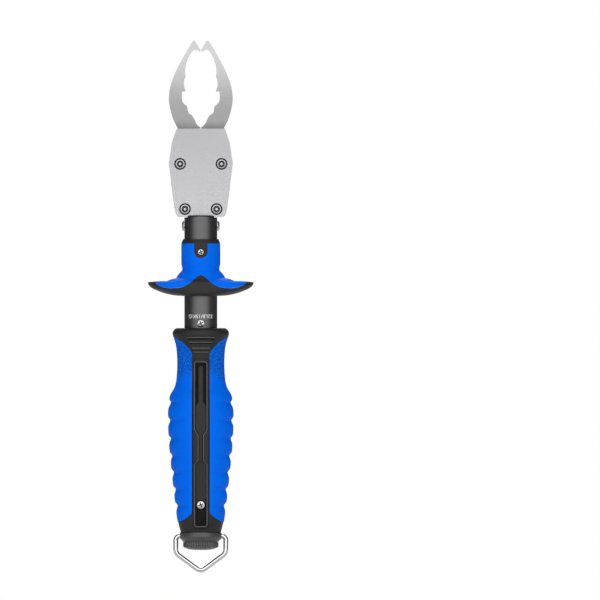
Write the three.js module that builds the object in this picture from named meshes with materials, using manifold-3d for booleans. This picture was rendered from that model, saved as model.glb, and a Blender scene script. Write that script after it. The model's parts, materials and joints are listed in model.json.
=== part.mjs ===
// Fish lip grip with a pull-out spring scale, in millimetres, +Z up, front facing -Y.
// The origin is the centre of the end cap's flat face. The jaws are closed and the scale is at zero.
import * as THREE from 'three';
import { mergeVertices } from 'three/addons/utils/BufferGeometryUtils.js';
import Module from 'manifold-3d';

const wasm = await Module();
wasm.setup();

// ---------------------------------------------------------------- driving dimensions

const GAP = 0.25; // air between pieces that sit against each other
const RUN = 0.1; // radial clearance of a sliding or turning fit
const SIDES = 28; // facets round a large circle
const SMALL_SIDES = 12; // facets round a screw or a pin

const TUBE = { r: 8.2, bore: 6.7, bottom: 28.5, top: 167.4, lip: 1.2 };
const SCALE_STROKE = 52;
const TRIGGER_STROKE = 9;
const JAW_OPENING = THREE.MathUtils.degToRad(16);

const HANDLE_DEPTH = 0.9; // depth of the handle over its width
const HANDLE = { top: 111, bottom: 9.5, boreFloor: 18, spigot: 5.5, spigotBottom: 4.4 };
const ROD_WAY = 3.2; // radius of the draw rod's way through the handle's floor
const HUB = { r: 8.2, top: 9.9 }; // step of the collar that runs in the handle's underside
const CAP_STEP = { r: 7.9, top: 4.65 }; // step of the end cap that runs in the collar's underside
const CHANNEL = 4.7; // half-width of the black channel between the grips

const PLATE = { inner: 2.2, outer: 4.2 }; // distance of a head plate's faces from the middle
const JAW_HALF_THICKNESS = 1.8;
const CAM = { front: -1.8, back: -0.2 }; // layer in front of the jaws' thinned tails
const PIVOT = { x: 10.35, z: 193.05, r: 2 };
const POST = { x: 7.9, z: 170.45, r: 2 };
const TAIL_PIN = { x: 5.85, z: 186.55, r: 1 };
const SIDE_SCREW_Z = 162;

const TRIGGER_SCREW_Z = 149;
const TUBE_SCREW_Z = 113.3;
const HANDLE_SCREW_Z = 22.6;
const WING = { halfWidth: 26.5, halfDepth: 13.5, sleeve: 9.75 };

const LOOP = { axisZ: 7.15, wire: 1.2, halfWidth: 12.5, shoulder: -1.6, apex: -10.9 };

// ---------------------------------------------------------------- materials

const finish = (color, roughness, metalness) =>
  new THREE.MeshStandardMaterial({ color, roughness, metalness });

const BLACK_PLASTIC = finish(0x2b2b2c, 0.55, 0);
const BLUE_RUBBER = finish(0x0a63e8, 0.6, 0);
const SATIN_STEEL = finish(0xb9bbbd, 0.35, 1);
const PLATE_STEEL = finish(0xc4c4c8, 0.4, 1);
const BLACK_ANODISED = finish(0x37363a, 0.35, 0.8);
const CHROME = finish(0xd9dadc, 0.15, 1);
const SPRING_STEEL = finish(0x8d9096, 0.3, 1);
const NYLON = finish(0x3c3c3e, 0.6, 0);
const BRASS = finish(0xb08d4a, 0.35, 1);

// ---------------------------------------------------------------- solids

function toSolid(geometry) {
  const bare = new THREE.BufferGeometry();
  bare.setAttribute('position', geometry.getAttribute('position').clone());
  if (geometry.index) bare.setIndex(geometry.index.clone());
  const merged = mergeVertices(bare, 1e-4);
  const corners = merged.index.array;
  const kept = [];
  for (let i = 0; i < corners.length; i += 3) {
    const [a, b, c] = [corners[i], corners[i + 1], corners[i + 2]];
    if (a !== b && b !== c && c !== a) kept.push(a, b, c);
  }
  return new wasm.Manifold(new wasm.Mesh({
    numProp: 3,
    vertProperties: new Float32Array(merged.getAttribute('position').array),
    triVerts: new Uint32Array(kept),
  }));
}

const join = (first, ...others) => others.reduce((a, b) => a.add(b), first);
const cut = (first, ...others) => others.reduce((a, b) => a.subtract(b), first);

// A turned body about Z from a closed or axis-to-axis list of [radius, height].
function turned(profile, depth = 1, sides = SIDES) {
  const points = profile.map(([r, z]) => new THREE.Vector2(r, z));
  const closed = profile[0][0] > 0;
  if (closed) points.push(points[0].clone());
  const geometry = new THREE.LatheGeometry(points, sides);
  geometry.rotateX(Math.PI / 2);
  geometry.scale(1, depth, 1);
  const solid = toSolid(geometry);
  return solid.volume() < 0 ? toSolid(flipped(geometry)) : solid;
}

function flipped(geometry) {
  const copy = geometry.clone();
  const index = copy.index.array;
  for (let i = 0; i < index.length; i += 3) {
    [index[i], index[i + 1]] = [index[i + 1], index[i]];
  }
  return copy;
}

const disc = (r, z0, z1, sides = SIDES) => turned([[0, z0], [r, z0], [r, z1], [0, z1]], 1, sides);

const ring = (inner, outer, z0, z1, sides = SIDES) =>
  turned([[inner, z0], [outer, z0], [outer, z1], [inner, z1]], 1, sides);

function rodY(r, y0, y1, x, z, sides = SMALL_SIDES) {
  const geometry = new THREE.CylinderGeometry(r, r, y1 - y0, sides);
  geometry.translate(x, (y0 + y1) / 2, z);
  return toSolid(geometry);
}

function rodX(r, x0, x1, y, z, sides = SMALL_SIDES) {
  const geometry = new THREE.CylinderGeometry(r, r, x1 - x0, sides);
  geometry.rotateZ(Math.PI / 2);
  geometry.translate((x0 + x1) / 2, y, z);
  return toSolid(geometry);
}

function block(x0, x1, y0, y1, z0, z1) {
  const geometry = new THREE.BoxGeometry(x1 - x0, y1 - y0, z1 - z0);
  geometry.translate((x0 + x1) / 2, (y0 + y1) / 2, (z0 + z1) / 2);
  return toSolid(geometry);
}

// A shape drawn in X and Z, given thickness along Y from y0 to y1.
function slab(shape, y0, y1, curveSegments = 3) {
  const geometry = new THREE.ExtrudeGeometry(shape, {
    depth: y1 - y0,
    bevelEnabled: false,
    curveSegments,
  });
  geometry.rotateX(Math.PI / 2);
  geometry.translate(0, y1, 0);
  return toSolid(geometry);
}

// A shape drawn in X and Y, given height along Z.
function column(shape, z0, z1) {
  const geometry = new THREE.ExtrudeGeometry(shape, { depth: z1 - z0, bevelEnabled: false });
  geometry.translate(0, 0, z0);
  return toSolid(geometry);
}

function wireAlong(path, radius, steps, sides) {
  const section = new THREE.Shape();
  section.absarc(0, 0, radius, 0, 2 * Math.PI);
  const points = section.getSpacedPoints(sides).slice(0, sides);
  const geometry = new THREE.ExtrudeGeometry(new THREE.Shape(points), {
    steps,
    bevelEnabled: false,
    extrudePath: path,
  });
  return toSolid(geometry);
}

const polygon = (points) => new THREE.Shape(points.map(([x, z]) => new THREE.Vector2(x, z)));

const mirrored = (points) => points.map(([x, z]) => [-x, z]);

const bothSides = (right) => [...right, ...mirrored(right).reverse()];

function roundedBox(halfWidth, z0, z1, radius) {
  const shape = new THREE.Shape();
  shape.moveTo(-halfWidth + radius, z0);
  shape.lineTo(halfWidth - radius, z0);
  shape.absarc(halfWidth - radius, z0 + radius, radius, -Math.PI / 2, 0);
  shape.lineTo(halfWidth, z1 - radius);
  shape.absarc(halfWidth - radius, z1 - radius, radius, 0, Math.PI / 2);
  shape.lineTo(-halfWidth + radius, z1);
  shape.absarc(-halfWidth + radius, z1 - radius, radius, Math.PI / 2, Math.PI);
  shape.lineTo(-halfWidth, z0 + radius);
  shape.absarc(-halfWidth + radius, z0 + radius, radius, Math.PI, 1.5 * Math.PI);
  return shape;
}

// ---------------------------------------------------------------- the exported group

const grip = new THREE.Group();

function add(name, solid, material) {
  const { vertProperties, triVerts } = solid.getMesh();
  const geometry = new THREE.BufferGeometry();
  geometry.setAttribute('position', new THREE.BufferAttribute(new Float32Array(vertProperties), 3));
  geometry.setIndex(new THREE.BufferAttribute(new Uint32Array(triVerts), 1));
  geometry.computeVertexNormals();
  const mesh = new THREE.Mesh(geometry, material);
  mesh.name = name;
  grip.add(mesh);
}

const SIDE_NAMES = { left: -1, right: 1 };

// ---------------------------------------------------------------- screws

// A socket screw seen from the front: its head lies between two depths and its shank points back.
function socketScrew(x, z, headR, headFront, headBack, shankR, shankEnd) {
  const facing = Math.sign(headBack - headFront);
  const socketFloor = headFront + facing * 0.7;
  const span = (a, b) => [Math.min(a, b), Math.max(a, b)];
  const head = rodY(headR, ...span(headFront, headBack), x, z);
  const shank = rodY(shankR, ...span(headBack - facing * 0.01, shankEnd), x, z);
  const socket = rodY(1.45, ...span(headFront - facing, socketFloor), x, z, 6);
  return cut(join(head, shank), socket);
}

// A cross-recess screw that faces -Y.
function crossScrew(z, headR, headFront, headBack, shankR, shankEnd) {
  const recess = headR * 0.62;
  const slot = 0.32;
  const floor = headFront + 0.45;
  return cut(
    join(rodY(headR, headFront, headBack, 0, z), rodY(shankR, headBack - 0.01, shankEnd, 0, z)),
    block(-recess, recess, headFront - 1, floor, z - slot, z + slot),
    block(-slot, slot, headFront - 1, floor, z - recess, z + recess),
  );
}

// ---------------------------------------------------------------- handle

// The handle's black body: half-width at each height, from the base to the top bulge.
const bodyCurve = new THREE.SplineCurve([
  [11.0, 12], [11.5, 15.5], [11.9, 22.5], [12.8, 30.8], [13.65, 39.2], [14.45, 47.4], [15.05, 55.7],
  [15.2, 64.5], [14.95, 72], [14.1, 77], [12.8, 81.5], [11.9, 86], [11.6, 91], [11.7, 97], [12.2, 102],
].map(([r, z]) => new THREE.Vector2(r, z)));
const bodyProfile = bodyCurve.getPoints(10).map((p) => [p.x, p.y]);
const bulge = [[13.1, 105], [13.75, 106.5], [14.1, 108], [13.9, 109], [13.2, 110.2], [12.2, HANDLE.top]];

const offset = (profile, by) => profile.map(([r, z]) => [r + by, z]);

const SCALLOPS = { count: 7, first: 73.7, pitch: 8.53, depth: 0.95 };
const crestCurve = new THREE.SplineCurve([
  [10.9, 12], [11.75, 15], [12.9, 22.5], [13.85, 31], [14.75, 39.5], [15.6, 48], [16.25, 56.5],
  [16.5, 65], [16.15, 73], [15.4, 77], [13.8, 80.2], [12.35, 84.5], [11.95, 91], [12.05, 97], [12.6, 102.5],
  [13.4, 106.5],
].map(([r, z]) => new THREE.Vector2(r, z)));

function scallop(z) {
  const turns = (SCALLOPS.first - z) / SCALLOPS.pitch;
  if (turns < -0.5 || turns > SCALLOPS.count - 0.5) return 0;
  return SCALLOPS.depth * Math.cos(Math.PI * turns) ** 4;
}
const gripProfile = crestCurve.getPoints(36).map((p) => [p.x - scallop(p.y), p.y]);

function filled(profile) {
  const [first, last] = [profile[0], profile[profile.length - 1]];
  return [[0, first[1]], ...profile, [0, last[1]]];
}

// Outline of one grip in front view, right-hand side; it runs past the surface on the outside.
const GRIP_OUTLINE = [
  [CHANNEL, 98.4], [6.4, 101.1], [9.2, 103.9], [13.1, 106], [20, 106.4], [20, 12.6], [10.7, 13.9],
  [CHANNEL, 18.8],
];
const grownGripOutline = [
  [CHANNEL - GAP, 98.5], [6.2, 101.4], [9.05, 104.2], [13.0, 106.3], [21, 106.8], [21, 12.2],
  [10.6, 13.6], [CHANNEL - GAP, 18.6],
];
const UNDER_GRIP = -1.4;

const INLAY = { halfWidth: 3.3, bottom: 11.9, top: 94.9 };
const inlayOutline = roundedBox(INLAY.halfWidth, INLAY.bottom, INLAY.top, 1.6);
const inlayPocket = roundedBox(INLAY.halfWidth + GAP, INLAY.bottom - GAP, INLAY.top + GAP, 1.8);
const inlayWindow = roundedBox(INLAY.halfWidth - 0.7, INLAY.bottom + 0.7, INLAY.top - 0.7, 1.2);
const inlaySpine = polygon(bothSides([
  [0, 14], [1.9, 14], [2.4, 15.5], [2.4, 40], [1.0, 44.5], [1.0, 57.8], [2.4, 60.5], [2.4, 70.5],
  [1.6, 73.5], [1.6, 92.7],
]).slice(1, -1));

const bodySkin = (by) => turned(filled(offset(bodyProfile, by)), HANDLE_DEPTH);

const gripUnder = bodySkin(UNDER_GRIP);
const pocketUnder = bodySkin(-1.1);

const bodyOuter = turned([
  [0, HANDLE.bottom], [10, HANDLE.bottom], [10.35, 10.2], ...bodyProfile, ...bulge, [0, HANDLE.top],
], HANDLE_DEPTH);
const hubRecess = disc(HUB.r + GAP, HANDLE.bottom - 1, HUB.top + GAP);

const coreRecesses = [
  ...Object.values(SIDE_NAMES).map((side) => cut(
    slab(polygon(grownGripOutline.map(([x, z]) => [side * x, z])), -20, 20),
    gripUnder,
    block(-30, 30, -30, 30, 102, 110),
  )),
  cut(slab(inlayPocket, -20, -5), pocketUnder),
  cut(slab(inlayPocket, 5, 20), pocketUnder),
];

// Above the smooth body the grips run on under the bulge.
const shoulderUnder = turned([[0, 101.9], [10.9, 101.9], [12.2, 107], [0, 107]], HANDLE_DEPTH);
const shoulderRecesses = Object.values(SIDE_NAMES).map((side) => cut(
  slab(polygon(grownGripOutline.map(([x, z]) => [side * x, z])), -20, 20)
    .intersect(block(-30, 30, -30, 30, 102, 107)),
  shoulderUnder,
));

const GUIDE = { r: 9.5, bottom: 105.3 };
const SCREW_SEAT = 2.31;
const SCREW_WAY = 1.6;
const handleFront = -HANDLE_DEPTH * 12;
const handleCore = cut(
  join(cut(bodyOuter, hubRecess), disc(HANDLE.spigot, HANDLE.spigotBottom, HUB.top + 1)),
  ...coreRecesses,
  ...shoulderRecesses,
  disc(TUBE.r + 0.2, HANDLE.boreFloor, HANDLE.top + 1),
  disc(GUIDE.r + 0.2, GUIDE.bottom - GAP, HANDLE.top + 1),
  disc(ROD_WAY, HANDLE.spigotBottom - 1, HANDLE.boreFloor + 1),
  rodY(SCREW_WAY, -20, -5, 0, HANDLE_SCREW_Z),
  rodY(SCREW_SEAT, -20, handleFront + 1.15, 0, HANDLE_SCREW_Z),
);
add('handle_core', handleCore, BLACK_PLASTIC);

const gripShell = cut(
  turned(filled(gripProfile), HANDLE_DEPTH),
  bodySkin(UNDER_GRIP + GAP),
  turned([[0, 101.7], [11.2, 101.7], [12.5, 107.2], [0, 107.2]], HANDLE_DEPTH),
);
for (const [name, side] of Object.entries(SIDE_NAMES)) {
  const outline = slab(polygon(GRIP_OUTLINE.map(([x, z]) => [side * x, z])), -20, 20);
  add(`grip_${name}`, gripShell.intersect(outline), BLUE_RUBBER);
}

// The trim strips in the channels: a raised frame round a raised spine.
const stripFloor = bodySkin(0.05);
const stripTop = bodySkin(0.55);
const stripUnder = bodySkin(-1.1 + GAP);
for (const [name, y0, y1] of [['front', -20, -5], ['back', 5, 20]]) {
  const plate = cut(slab(inlayOutline, y0, y1).intersect(stripFloor), stripUnder);
  const frame = cut(slab(inlayOutline, y0, y1).intersect(stripTop), stripUnder, slab(inlayWindow, y0, y1));
  const spine = cut(slab(inlaySpine, y0, y1).intersect(stripTop), stripUnder);
  const strip = join(plate, frame, spine);
  const screwSeat = rodY(SCREW_SEAT, -20, -5, 0, HANDLE_SCREW_Z);
  add(`${name}_inlay`, name === 'front' ? cut(strip, screwSeat) : strip, BLACK_PLASTIC);
}

add(
  'handle_screw',
  crossScrew(HANDLE_SCREW_Z, 2.05, handleFront - 0.6, handleFront + 0.9, 1.2, -5.2),
  CHROME,
);

add('guide_bush', ring(TUBE.r + RUN, GUIDE.r, GUIDE.bottom, HANDLE.top - 0.2), NYLON);

// ---------------------------------------------------------------- draw rod inside the handle

const BUSH = { bottom: TUBE.bottom + 0.5, top: 33.5 };
const ROD = { r: 2.4, bottom: 9.6, top: 110.2, threadR: 1.9 };
const PLUG = { bottom: HANDLE.boreFloor + 0.3, top: 26.5 };
const SPRING_SOLID = 16; // length of the scale spring with the scale pulled right out
const PISTON = { r: 6.4, bottom: BUSH.top + SCALE_STROKE + SPRING_SOLID, top: 105.5 };

add('end_plug', cut(
  disc(TUBE.r, PLUG.bottom, PLUG.top),
  disc(ROD.r + GAP, PLUG.bottom - 1, PLUG.top + 1, SMALL_SIDES),
  rodY(1.5, -20, -4.8, 0, HANDLE_SCREW_Z),
), BLACK_ANODISED);

add('draw_rod', join(
  disc(ROD.r, ROD.bottom, PISTON.bottom, SMALL_SIDES),
  disc(ROD.threadR, PISTON.bottom - 0.5, ROD.top - 0.6, SMALL_SIDES),
), SATIN_STEEL);

add('draw_piston', ring(ROD.threadR + GAP, PISTON.r, PISTON.bottom + GAP, PISTON.top), BRASS);

add('rod_nut', cut(
  turned([[0, PISTON.top + GAP], [4, PISTON.top + GAP], [4, 109], [0, 109]], 1, 6),
  disc(ROD.threadR + GAP, PISTON.top - 1, ROD.top + 1, SMALL_SIDES),
), CHROME);

// ---------------------------------------------------------------- end cap, swivel collar and loop

const CAP = { r: 8.85, ribDepth: 0.35, ribs: 24, top: 4, stud: 2.9, studTop: 9 };

const ribOutline = new THREE.Shape(Array.from({ length: 4 * CAP.ribs }, (_, i) => {
  const r = i % 4 < 2 ? CAP.r : CAP.r - CAP.ribDepth;
  const angle = (2 * Math.PI * (i + 0.5)) / (4 * CAP.ribs);
  return new THREE.Vector2(r * Math.sin(angle), r * Math.cos(angle));
}));

add('end_cap', join(
  turned([[0, 0], [6.2, 0], [7.5, 0.4], [8.4, 1.2], [8.4, 3.5], [8.2, CAP.top], [0, CAP.top]]),
  column(ribOutline, 1.2, 3.7),
  ring(HANDLE.spigot + GAP, CAP_STEP.r, CAP.top - 0.5, CAP_STEP.top),
  disc(CAP.stud, CAP.top - 0.5, CAP.studTop),
), BLACK_PLASTIC);

const loopSockets = Object.values(SIDE_NAMES).map((side) => (
  rodX(LOOP.wire + GAP, Math.min(side * 7.6, side * 20), Math.max(side * 7.6, side * 20), 0, LOOP.axisZ)
));
const COLLAR = { bottom: 4.3, shoulder: 8.8 };
add('ring_collar', cut(
  turned([
    [HANDLE.spigot + GAP, COLLAR.bottom], [9, COLLAR.bottom], [10.1, 5.4], [10.6, 6.8], [10.6, 8.1],
    [10.2, COLLAR.shoulder], [HUB.r, COLLAR.shoulder], [HUB.r, HUB.top], [HANDLE.spigot + GAP, HUB.top],
  ]),
  disc(CAP_STEP.r + GAP, COLLAR.bottom - 1, CAP_STEP.top + GAP),
  ...loopSockets,
), BLACK_PLASTIC);

function loopPath() {
  const corner = 2.2;
  const half = LOOP.halfWidth;
  const at = (x, z) => new THREE.Vector3(x, 0, z);
  const slope = (LOOP.shoulder - LOOP.apex) / half;
  const knee = 1.8;
  const tipX = 2.4;
  const side = (s) => [
    at(s * 8, LOOP.axisZ),
    at(s * (half - corner), LOOP.axisZ),
    at(s * half, LOOP.axisZ),
    at(s * half, LOOP.axisZ - corner),
    at(s * half, LOOP.shoulder + knee),
    at(s * half, LOOP.shoulder),
    at(s * (half - knee), LOOP.shoulder - knee * slope),
    at(s * tipX, LOOP.apex + tipX * slope),
  ];
  const [a, b, c, d, e, f, g, h] = side(-1);
  const [a2, b2, c2, d2, e2, f2, g2, h2] = side(1);
  const path = new THREE.CurvePath();
  path.add(new THREE.LineCurve3(a, b));
  path.add(new THREE.QuadraticBezierCurve3(b, c, d));
  path.add(new THREE.LineCurve3(d, e));
  path.add(new THREE.QuadraticBezierCurve3(e, f, g));
  path.add(new THREE.LineCurve3(g, h));
  path.add(new THREE.QuadraticBezierCurve3(h, at(0, LOOP.apex), h2));
  path.add(new THREE.LineCurve3(h2, g2));
  path.add(new THREE.QuadraticBezierCurve3(g2, f2, e2));
  path.add(new THREE.LineCurve3(e2, d2));
  path.add(new THREE.QuadraticBezierCurve3(d2, c2, b2));
  path.add(new THREE.LineCurve3(b2, a2));
  return path;
}
add('lanyard_loop', wireAlong(loopPath(), LOOP.wire, 48, 8), CHROME);

// ---------------------------------------------------------------- scale tube

const slotHalf = 2;
const SLOT = { bottom: TRIGGER_SCREW_Z - TRIGGER_STROKE - slotHalf, top: TRIGGER_SCREW_Z + slotHalf };
const NOTCH = { half: PLATE.outer + GAP, bottom: 166.3 };

const tubeWall = turned([
  [TUBE.bore, TUBE.bottom], [TUBE.r, TUBE.bottom], [TUBE.r, TUBE.top - TUBE.lip],
  [TUBE.r - 0.35, TUBE.top - 0.35], [TUBE.r - TUBE.lip, TUBE.top], [TUBE.bore, TUBE.top],
]);
add('scale_tube', cut(
  tubeWall,
  block(-slotHalf, slotHalf, -10, -4, SLOT.bottom, SLOT.top),
  block(-10, 10, -NOTCH.half, NOTCH.half, NOTCH.bottom, TUBE.top + 1),
  rodY(1.3, -10, -4, 0, TUBE_SCREW_Z),
  rodX(1.5, -10, -5, 0, SIDE_SCREW_Z),
  rodX(1.5, 5, 10, 0, SIDE_SCREW_Z),
), BLACK_ANODISED);

const PLUG_R = TUBE.bore - 0.2; // pieces that fill the tube
add('tube_end_bush', ring(ROD.r + RUN, PLUG_R, BUSH.bottom, BUSH.top), NYLON);

const DIVIDER = { bottom: 111.2, top: 118 };
add('divider_plug', cut(
  disc(PLUG_R, DIVIDER.bottom, DIVIDER.top),
  rodY(1.2, -10, -3, 0, TUBE_SCREW_Z),
), BLACK_ANODISED);
add('tube_screw', crossScrew(TUBE_SCREW_Z, 1.95, -9.1, -8.35, 0.95, -3.4), CHROME);

// ---------------------------------------------------------------- springs

function coil(radius, wire, z0, z1, turns, stepsPerTurn, sides) {
  const low = z0 + wire;
  const rise = z1 - z0 - 2 * wire;
  class Helix extends THREE.Curve {
    getPoint(t, target = new THREE.Vector3()) {
      const angle = 2 * Math.PI * turns * t;
      return target.set(radius * Math.cos(angle), radius * Math.sin(angle), low + rise * t);
    }
  }
  return wireAlong(new Helix(), wire, turns * stepsPerTurn, sides);
}
add('scale_spring', coil(5.5, 0.7, BUSH.top + 0.3, PISTON.bottom - 0.1, 9, 10, 4), SPRING_STEEL);

const PLUNGER = { bottom: 144, top: 154.2 };
add('return_spring', coil(4.8, 0.6, DIVIDER.top + 0.3, PLUNGER.bottom - 0.3, 6, 8, 4), SPRING_STEEL);

// ---------------------------------------------------------------- trigger

// The wings spread from the round sleeve into an oval: a radius beyond the sleeve shrinks with direction.
function spreadWings(geometry) {
  const { halfWidth, halfDepth, sleeve } = WING;
  const position = geometry.getAttribute('position');
  for (let i = 0; i < position.count; i += 1) {
    const [x, y] = [position.getX(i), position.getY(i)];
    const r = Math.hypot(x, y);
    if (r > sleeve) {
      const [c, s] = [x / r, y / r];
      const rim = (halfWidth * halfDepth) / Math.hypot(halfDepth * c, halfWidth * s);
      const reach = sleeve + ((r - sleeve) * (rim - sleeve)) / (halfWidth - sleeve);
      position.setXY(i, c * reach, s * reach);
    }
  }
  return geometry;
}

const TRIGGER_PROFILE = [
  [TUBE.r + RUN, 127], [12.9, 127.2], [16.8, 127.8], [20.6, 128.7], [23.8, 130.1], [25.7, 132],
  [WING.halfWidth, 133.5], [26.1, 134.1], [22.6, 134.4], [20.1, 134.4], [18.6, 133.8], [17.2, 133.8],
  [16.7, 134.4], [13.6, 135.7], [12.2, 135.9], [11.3, 137.5], [10.1, 139.1], [9.3, 140.2],
  [WING.sleeve, 142.4], [WING.sleeve, 153.2], [9.35, 154.3], [8.9, 155.5], [TUBE.r + RUN, 155.5],
];
const triggerGeometry = new THREE.LatheGeometry(
  [...TRIGGER_PROFILE, TRIGGER_PROFILE[0]].map(([r, z]) => new THREE.Vector2(r, z)),
  SIDES,
);
triggerGeometry.rotateX(Math.PI / 2);
const triggerBody = toSolid(spreadWings(triggerGeometry));

// Seam between the black shell and the blue pad in front view, right-hand side.
const SEAM = [[0, 137.4], [1.7, 136.6], [4, 134.7], [6.3, 132.8], [9, 131.6], [12.9, 130.9],
  [16.8, 130.9], [20.6, 132], [22.6, 133.6], [24, 140]];
function below(by) {
  const right = SEAM.map(([x, z]) => [x, z + by]);
  const seam = [...mirrored(right).reverse(), ...right.slice(1)];
  return slab(polygon([...seam, [40, 141], [40, 120], [-40, 120], [-40, 141]]), -30, 30);
}
const PAD_INNER = 9.05;
const TAB = { halfWidth: 3.4, bottom: 146 };
const tabShape = roundedBox(TAB.halfWidth, TAB.bottom, 160, TAB.halfWidth - 0.01);
const tab = slab(tabShape, -30, 0, 5);

const triggerShell = join(
  triggerBody.intersect(below(0)),
  ring(TUBE.r + RUN, PAD_INNER - GAP, 130, 153.5),
  triggerBody.intersect(block(-30, 30, -30, 30, 153.4, 156)),
  triggerBody.intersect(tab),
);
add('trigger_core', cut(
  triggerShell,
  rodY(1.5, -12, -5, 0, TRIGGER_SCREW_Z),
  rodY(1.95, -12, -9.05, 0, TRIGGER_SCREW_Z),
), BLACK_PLASTIC);

const tabGrown = slab(roundedBox(TAB.halfWidth + GAP, TAB.bottom - GAP, 160, TAB.halfWidth), -30, 0, 5);
add('trigger_pad', cut(
  triggerBody,
  below(GAP),
  ring(TUBE.r - 1, PAD_INNER, 120, 160),
  block(-30, 30, -30, 30, 153.4 - GAP, 160),
  tabGrown,
), BLUE_RUBBER);

add('trigger_screw', crossScrew(TRIGGER_SCREW_Z, 1.65, -9.95, -9.2, 1.2, -3.8), CHROME);

// ---------------------------------------------------------------- plunger and cam plate

const STEM = { half: 2.4, bottom: 149.8 };
const PIN_Z = 151.9;

add('plunger', cut(
  disc(PLUG_R, PLUNGER.bottom, PLUNGER.top),
  rodY(1.45, -10, -3.4, 0, TRIGGER_SCREW_Z),
  block(-STEM.half - GAP, STEM.half + GAP, CAM.front - GAP, CAM.back + GAP, STEM.bottom - GAP, 160),
  rodY(0.9 + GAP, -10, 10, 0, PIN_Z),
), BRASS);
add('plunger_pin', rodY(0.9, -6, 6, 0, PIN_Z), SATIN_STEEL);

// Where a jaw's tail pin lies in the cam plate when the plate has moved down by a share of its stroke.
function pinInCam(share, side) {
  const angle = -side * JAW_OPENING * share;
  const [dx, dz] = [side * (TAIL_PIN.x - PIVOT.x), TAIL_PIN.z - PIVOT.z];
  const x = side * PIVOT.x + dx * Math.cos(angle) - dz * Math.sin(angle);
  const z = PIVOT.z + dx * Math.sin(angle) + dz * Math.cos(angle);
  return new THREE.Vector2(x, z + TRIGGER_STROKE * share);
}

function camSlot(side) {
  const half = TAIL_PIN.r + GAP;
  const steps = 8;
  const centres = Array.from({ length: steps + 1 }, (_, i) => pinInCam(i / steps, side));
  const start = centres[0];
  const end = centres[steps];
  const heading = end.clone().sub(start).angle();
  const edge = (offsetBy) => centres.map((p) => new THREE.Vector2(
    p.x + offsetBy * Math.cos(heading - Math.PI / 2),
    p.y + offsetBy * Math.sin(heading - Math.PI / 2),
  ));
  const cap = (centre, from) => [1, 2, 3, 4, 5].map((i) => new THREE.Vector2(
    centre.x + half * Math.cos(from + (i * Math.PI) / 6),
    centre.y + half * Math.sin(from + (i * Math.PI) / 6),
  ));
  return new THREE.Shape([
    ...edge(half),
    ...cap(end, heading - Math.PI / 2),
    ...edge(-half).reverse(),
    ...cap(start, heading + Math.PI / 2),
  ]);
}

const camOutline = polygon(bothSides([
  [STEM.half, STEM.bottom], [STEM.half, 183.5], [8.0, 184.2], [8.0, 187.5], [7.55, 190], [6.5, 199],
  [5.6, 199.8],
]));
add('cam_plate', cut(
  slab(camOutline, CAM.front, CAM.back),
  slab(camSlot(-1), -5, 5),
  slab(camSlot(1), -5, 5),
  rodY(0.9 + GAP, -5, 5, 0, PIN_Z),
), SATIN_STEEL);

// ---------------------------------------------------------------- head block between the plates

const TONGUE = { half: 3.6, bottom: 157 };
const SPACER = { half: 11, y: PLATE.inner - GAP, bottom: 167.3, top: 174.2 };

const tongueSlot = (y0, y1) =>
  block(-TONGUE.half - GAP, TONGUE.half + GAP, y0, y1, TONGUE.bottom - GAP, 180);
add('head_block', cut(
  join(
    cut(
      disc(PLUG_R, 155, TUBE.top - 0.4),
      block(-10, 10, -NOTCH.half, -SPACER.y, NOTCH.bottom, 180),
      block(-10, 10, SPACER.y, NOTCH.half, NOTCH.bottom, 180),
      tongueSlot(-NOTCH.half, -SPACER.y),
      tongueSlot(SPACER.y, NOTCH.half),
    ),
    block(-6, 6, -SPACER.y, SPACER.y, 166, SPACER.bottom + 1),
    slab(roundedBox(SPACER.half, SPACER.bottom, SPACER.top, 1.5), -SPACER.y, SPACER.y),
  ),
  block(-STEM.half - GAP, STEM.half + GAP, -SPACER.y - 0.01, CAM.back + GAP, 150, 180),
  ...Object.values(SIDE_NAMES).flatMap((side) => [
    rodY(POST.r + GAP, -5, 5, side * POST.x, POST.z),
    rodX(1.35, Math.min(side * 4, side * 9), Math.max(side * 4, side * 9), 0, SIDE_SCREW_Z),
  ]),
), BLACK_ANODISED);

function sideScrew(side) {
  const dome = new THREE.LatheGeometry([
    [0, 4.3], [1.1, 4.3], [1.1, 8.3], [2.5, 8.3], [2.35, 8.9], [1.6, 9.35], [0, 9.5],
  ].map(([r, h]) => new THREE.Vector2(r, h)), SMALL_SIDES);
  dome.rotateZ(-side * Math.PI / 2);
  dome.translate(0, 0, SIDE_SCREW_Z);
  const socket = rodX(1.2, Math.min(side * 8.7, side * 12), Math.max(side * 8.7, side * 12), 0,
    SIDE_SCREW_Z, 6);
  return cut(toSolid(dome), socket);
}
for (const [name, side] of Object.entries(SIDE_NAMES)) {
  add(`side_screw_${name}`, sideScrew(side), CHROME);
}

// ---------------------------------------------------------------- head plates

const PLATE_EDGE = [
  [TONGUE.half, TONGUE.bottom], [TONGUE.half, 166.6], [10.9, 166.6], [11.9, 167.0], [12.5, 167.9],
  [13.15, 170.9], [13.9, 176.1], [14.85, 184.2], [15.7, 190.3], [15.95, 193.2], [15.7, 196.2],
  [14.4, 203.9], [12.1, 210.4], [11.7, 210.75],
];
const plateSlab = (y0, y1) => slab(polygon(bothSides(PLATE_EDGE)), y0, y1);
const SEAT = { r: 2.8, depth: 0.9 };
const HEAD = { r: 2.45, proud: 0.35 };

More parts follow.
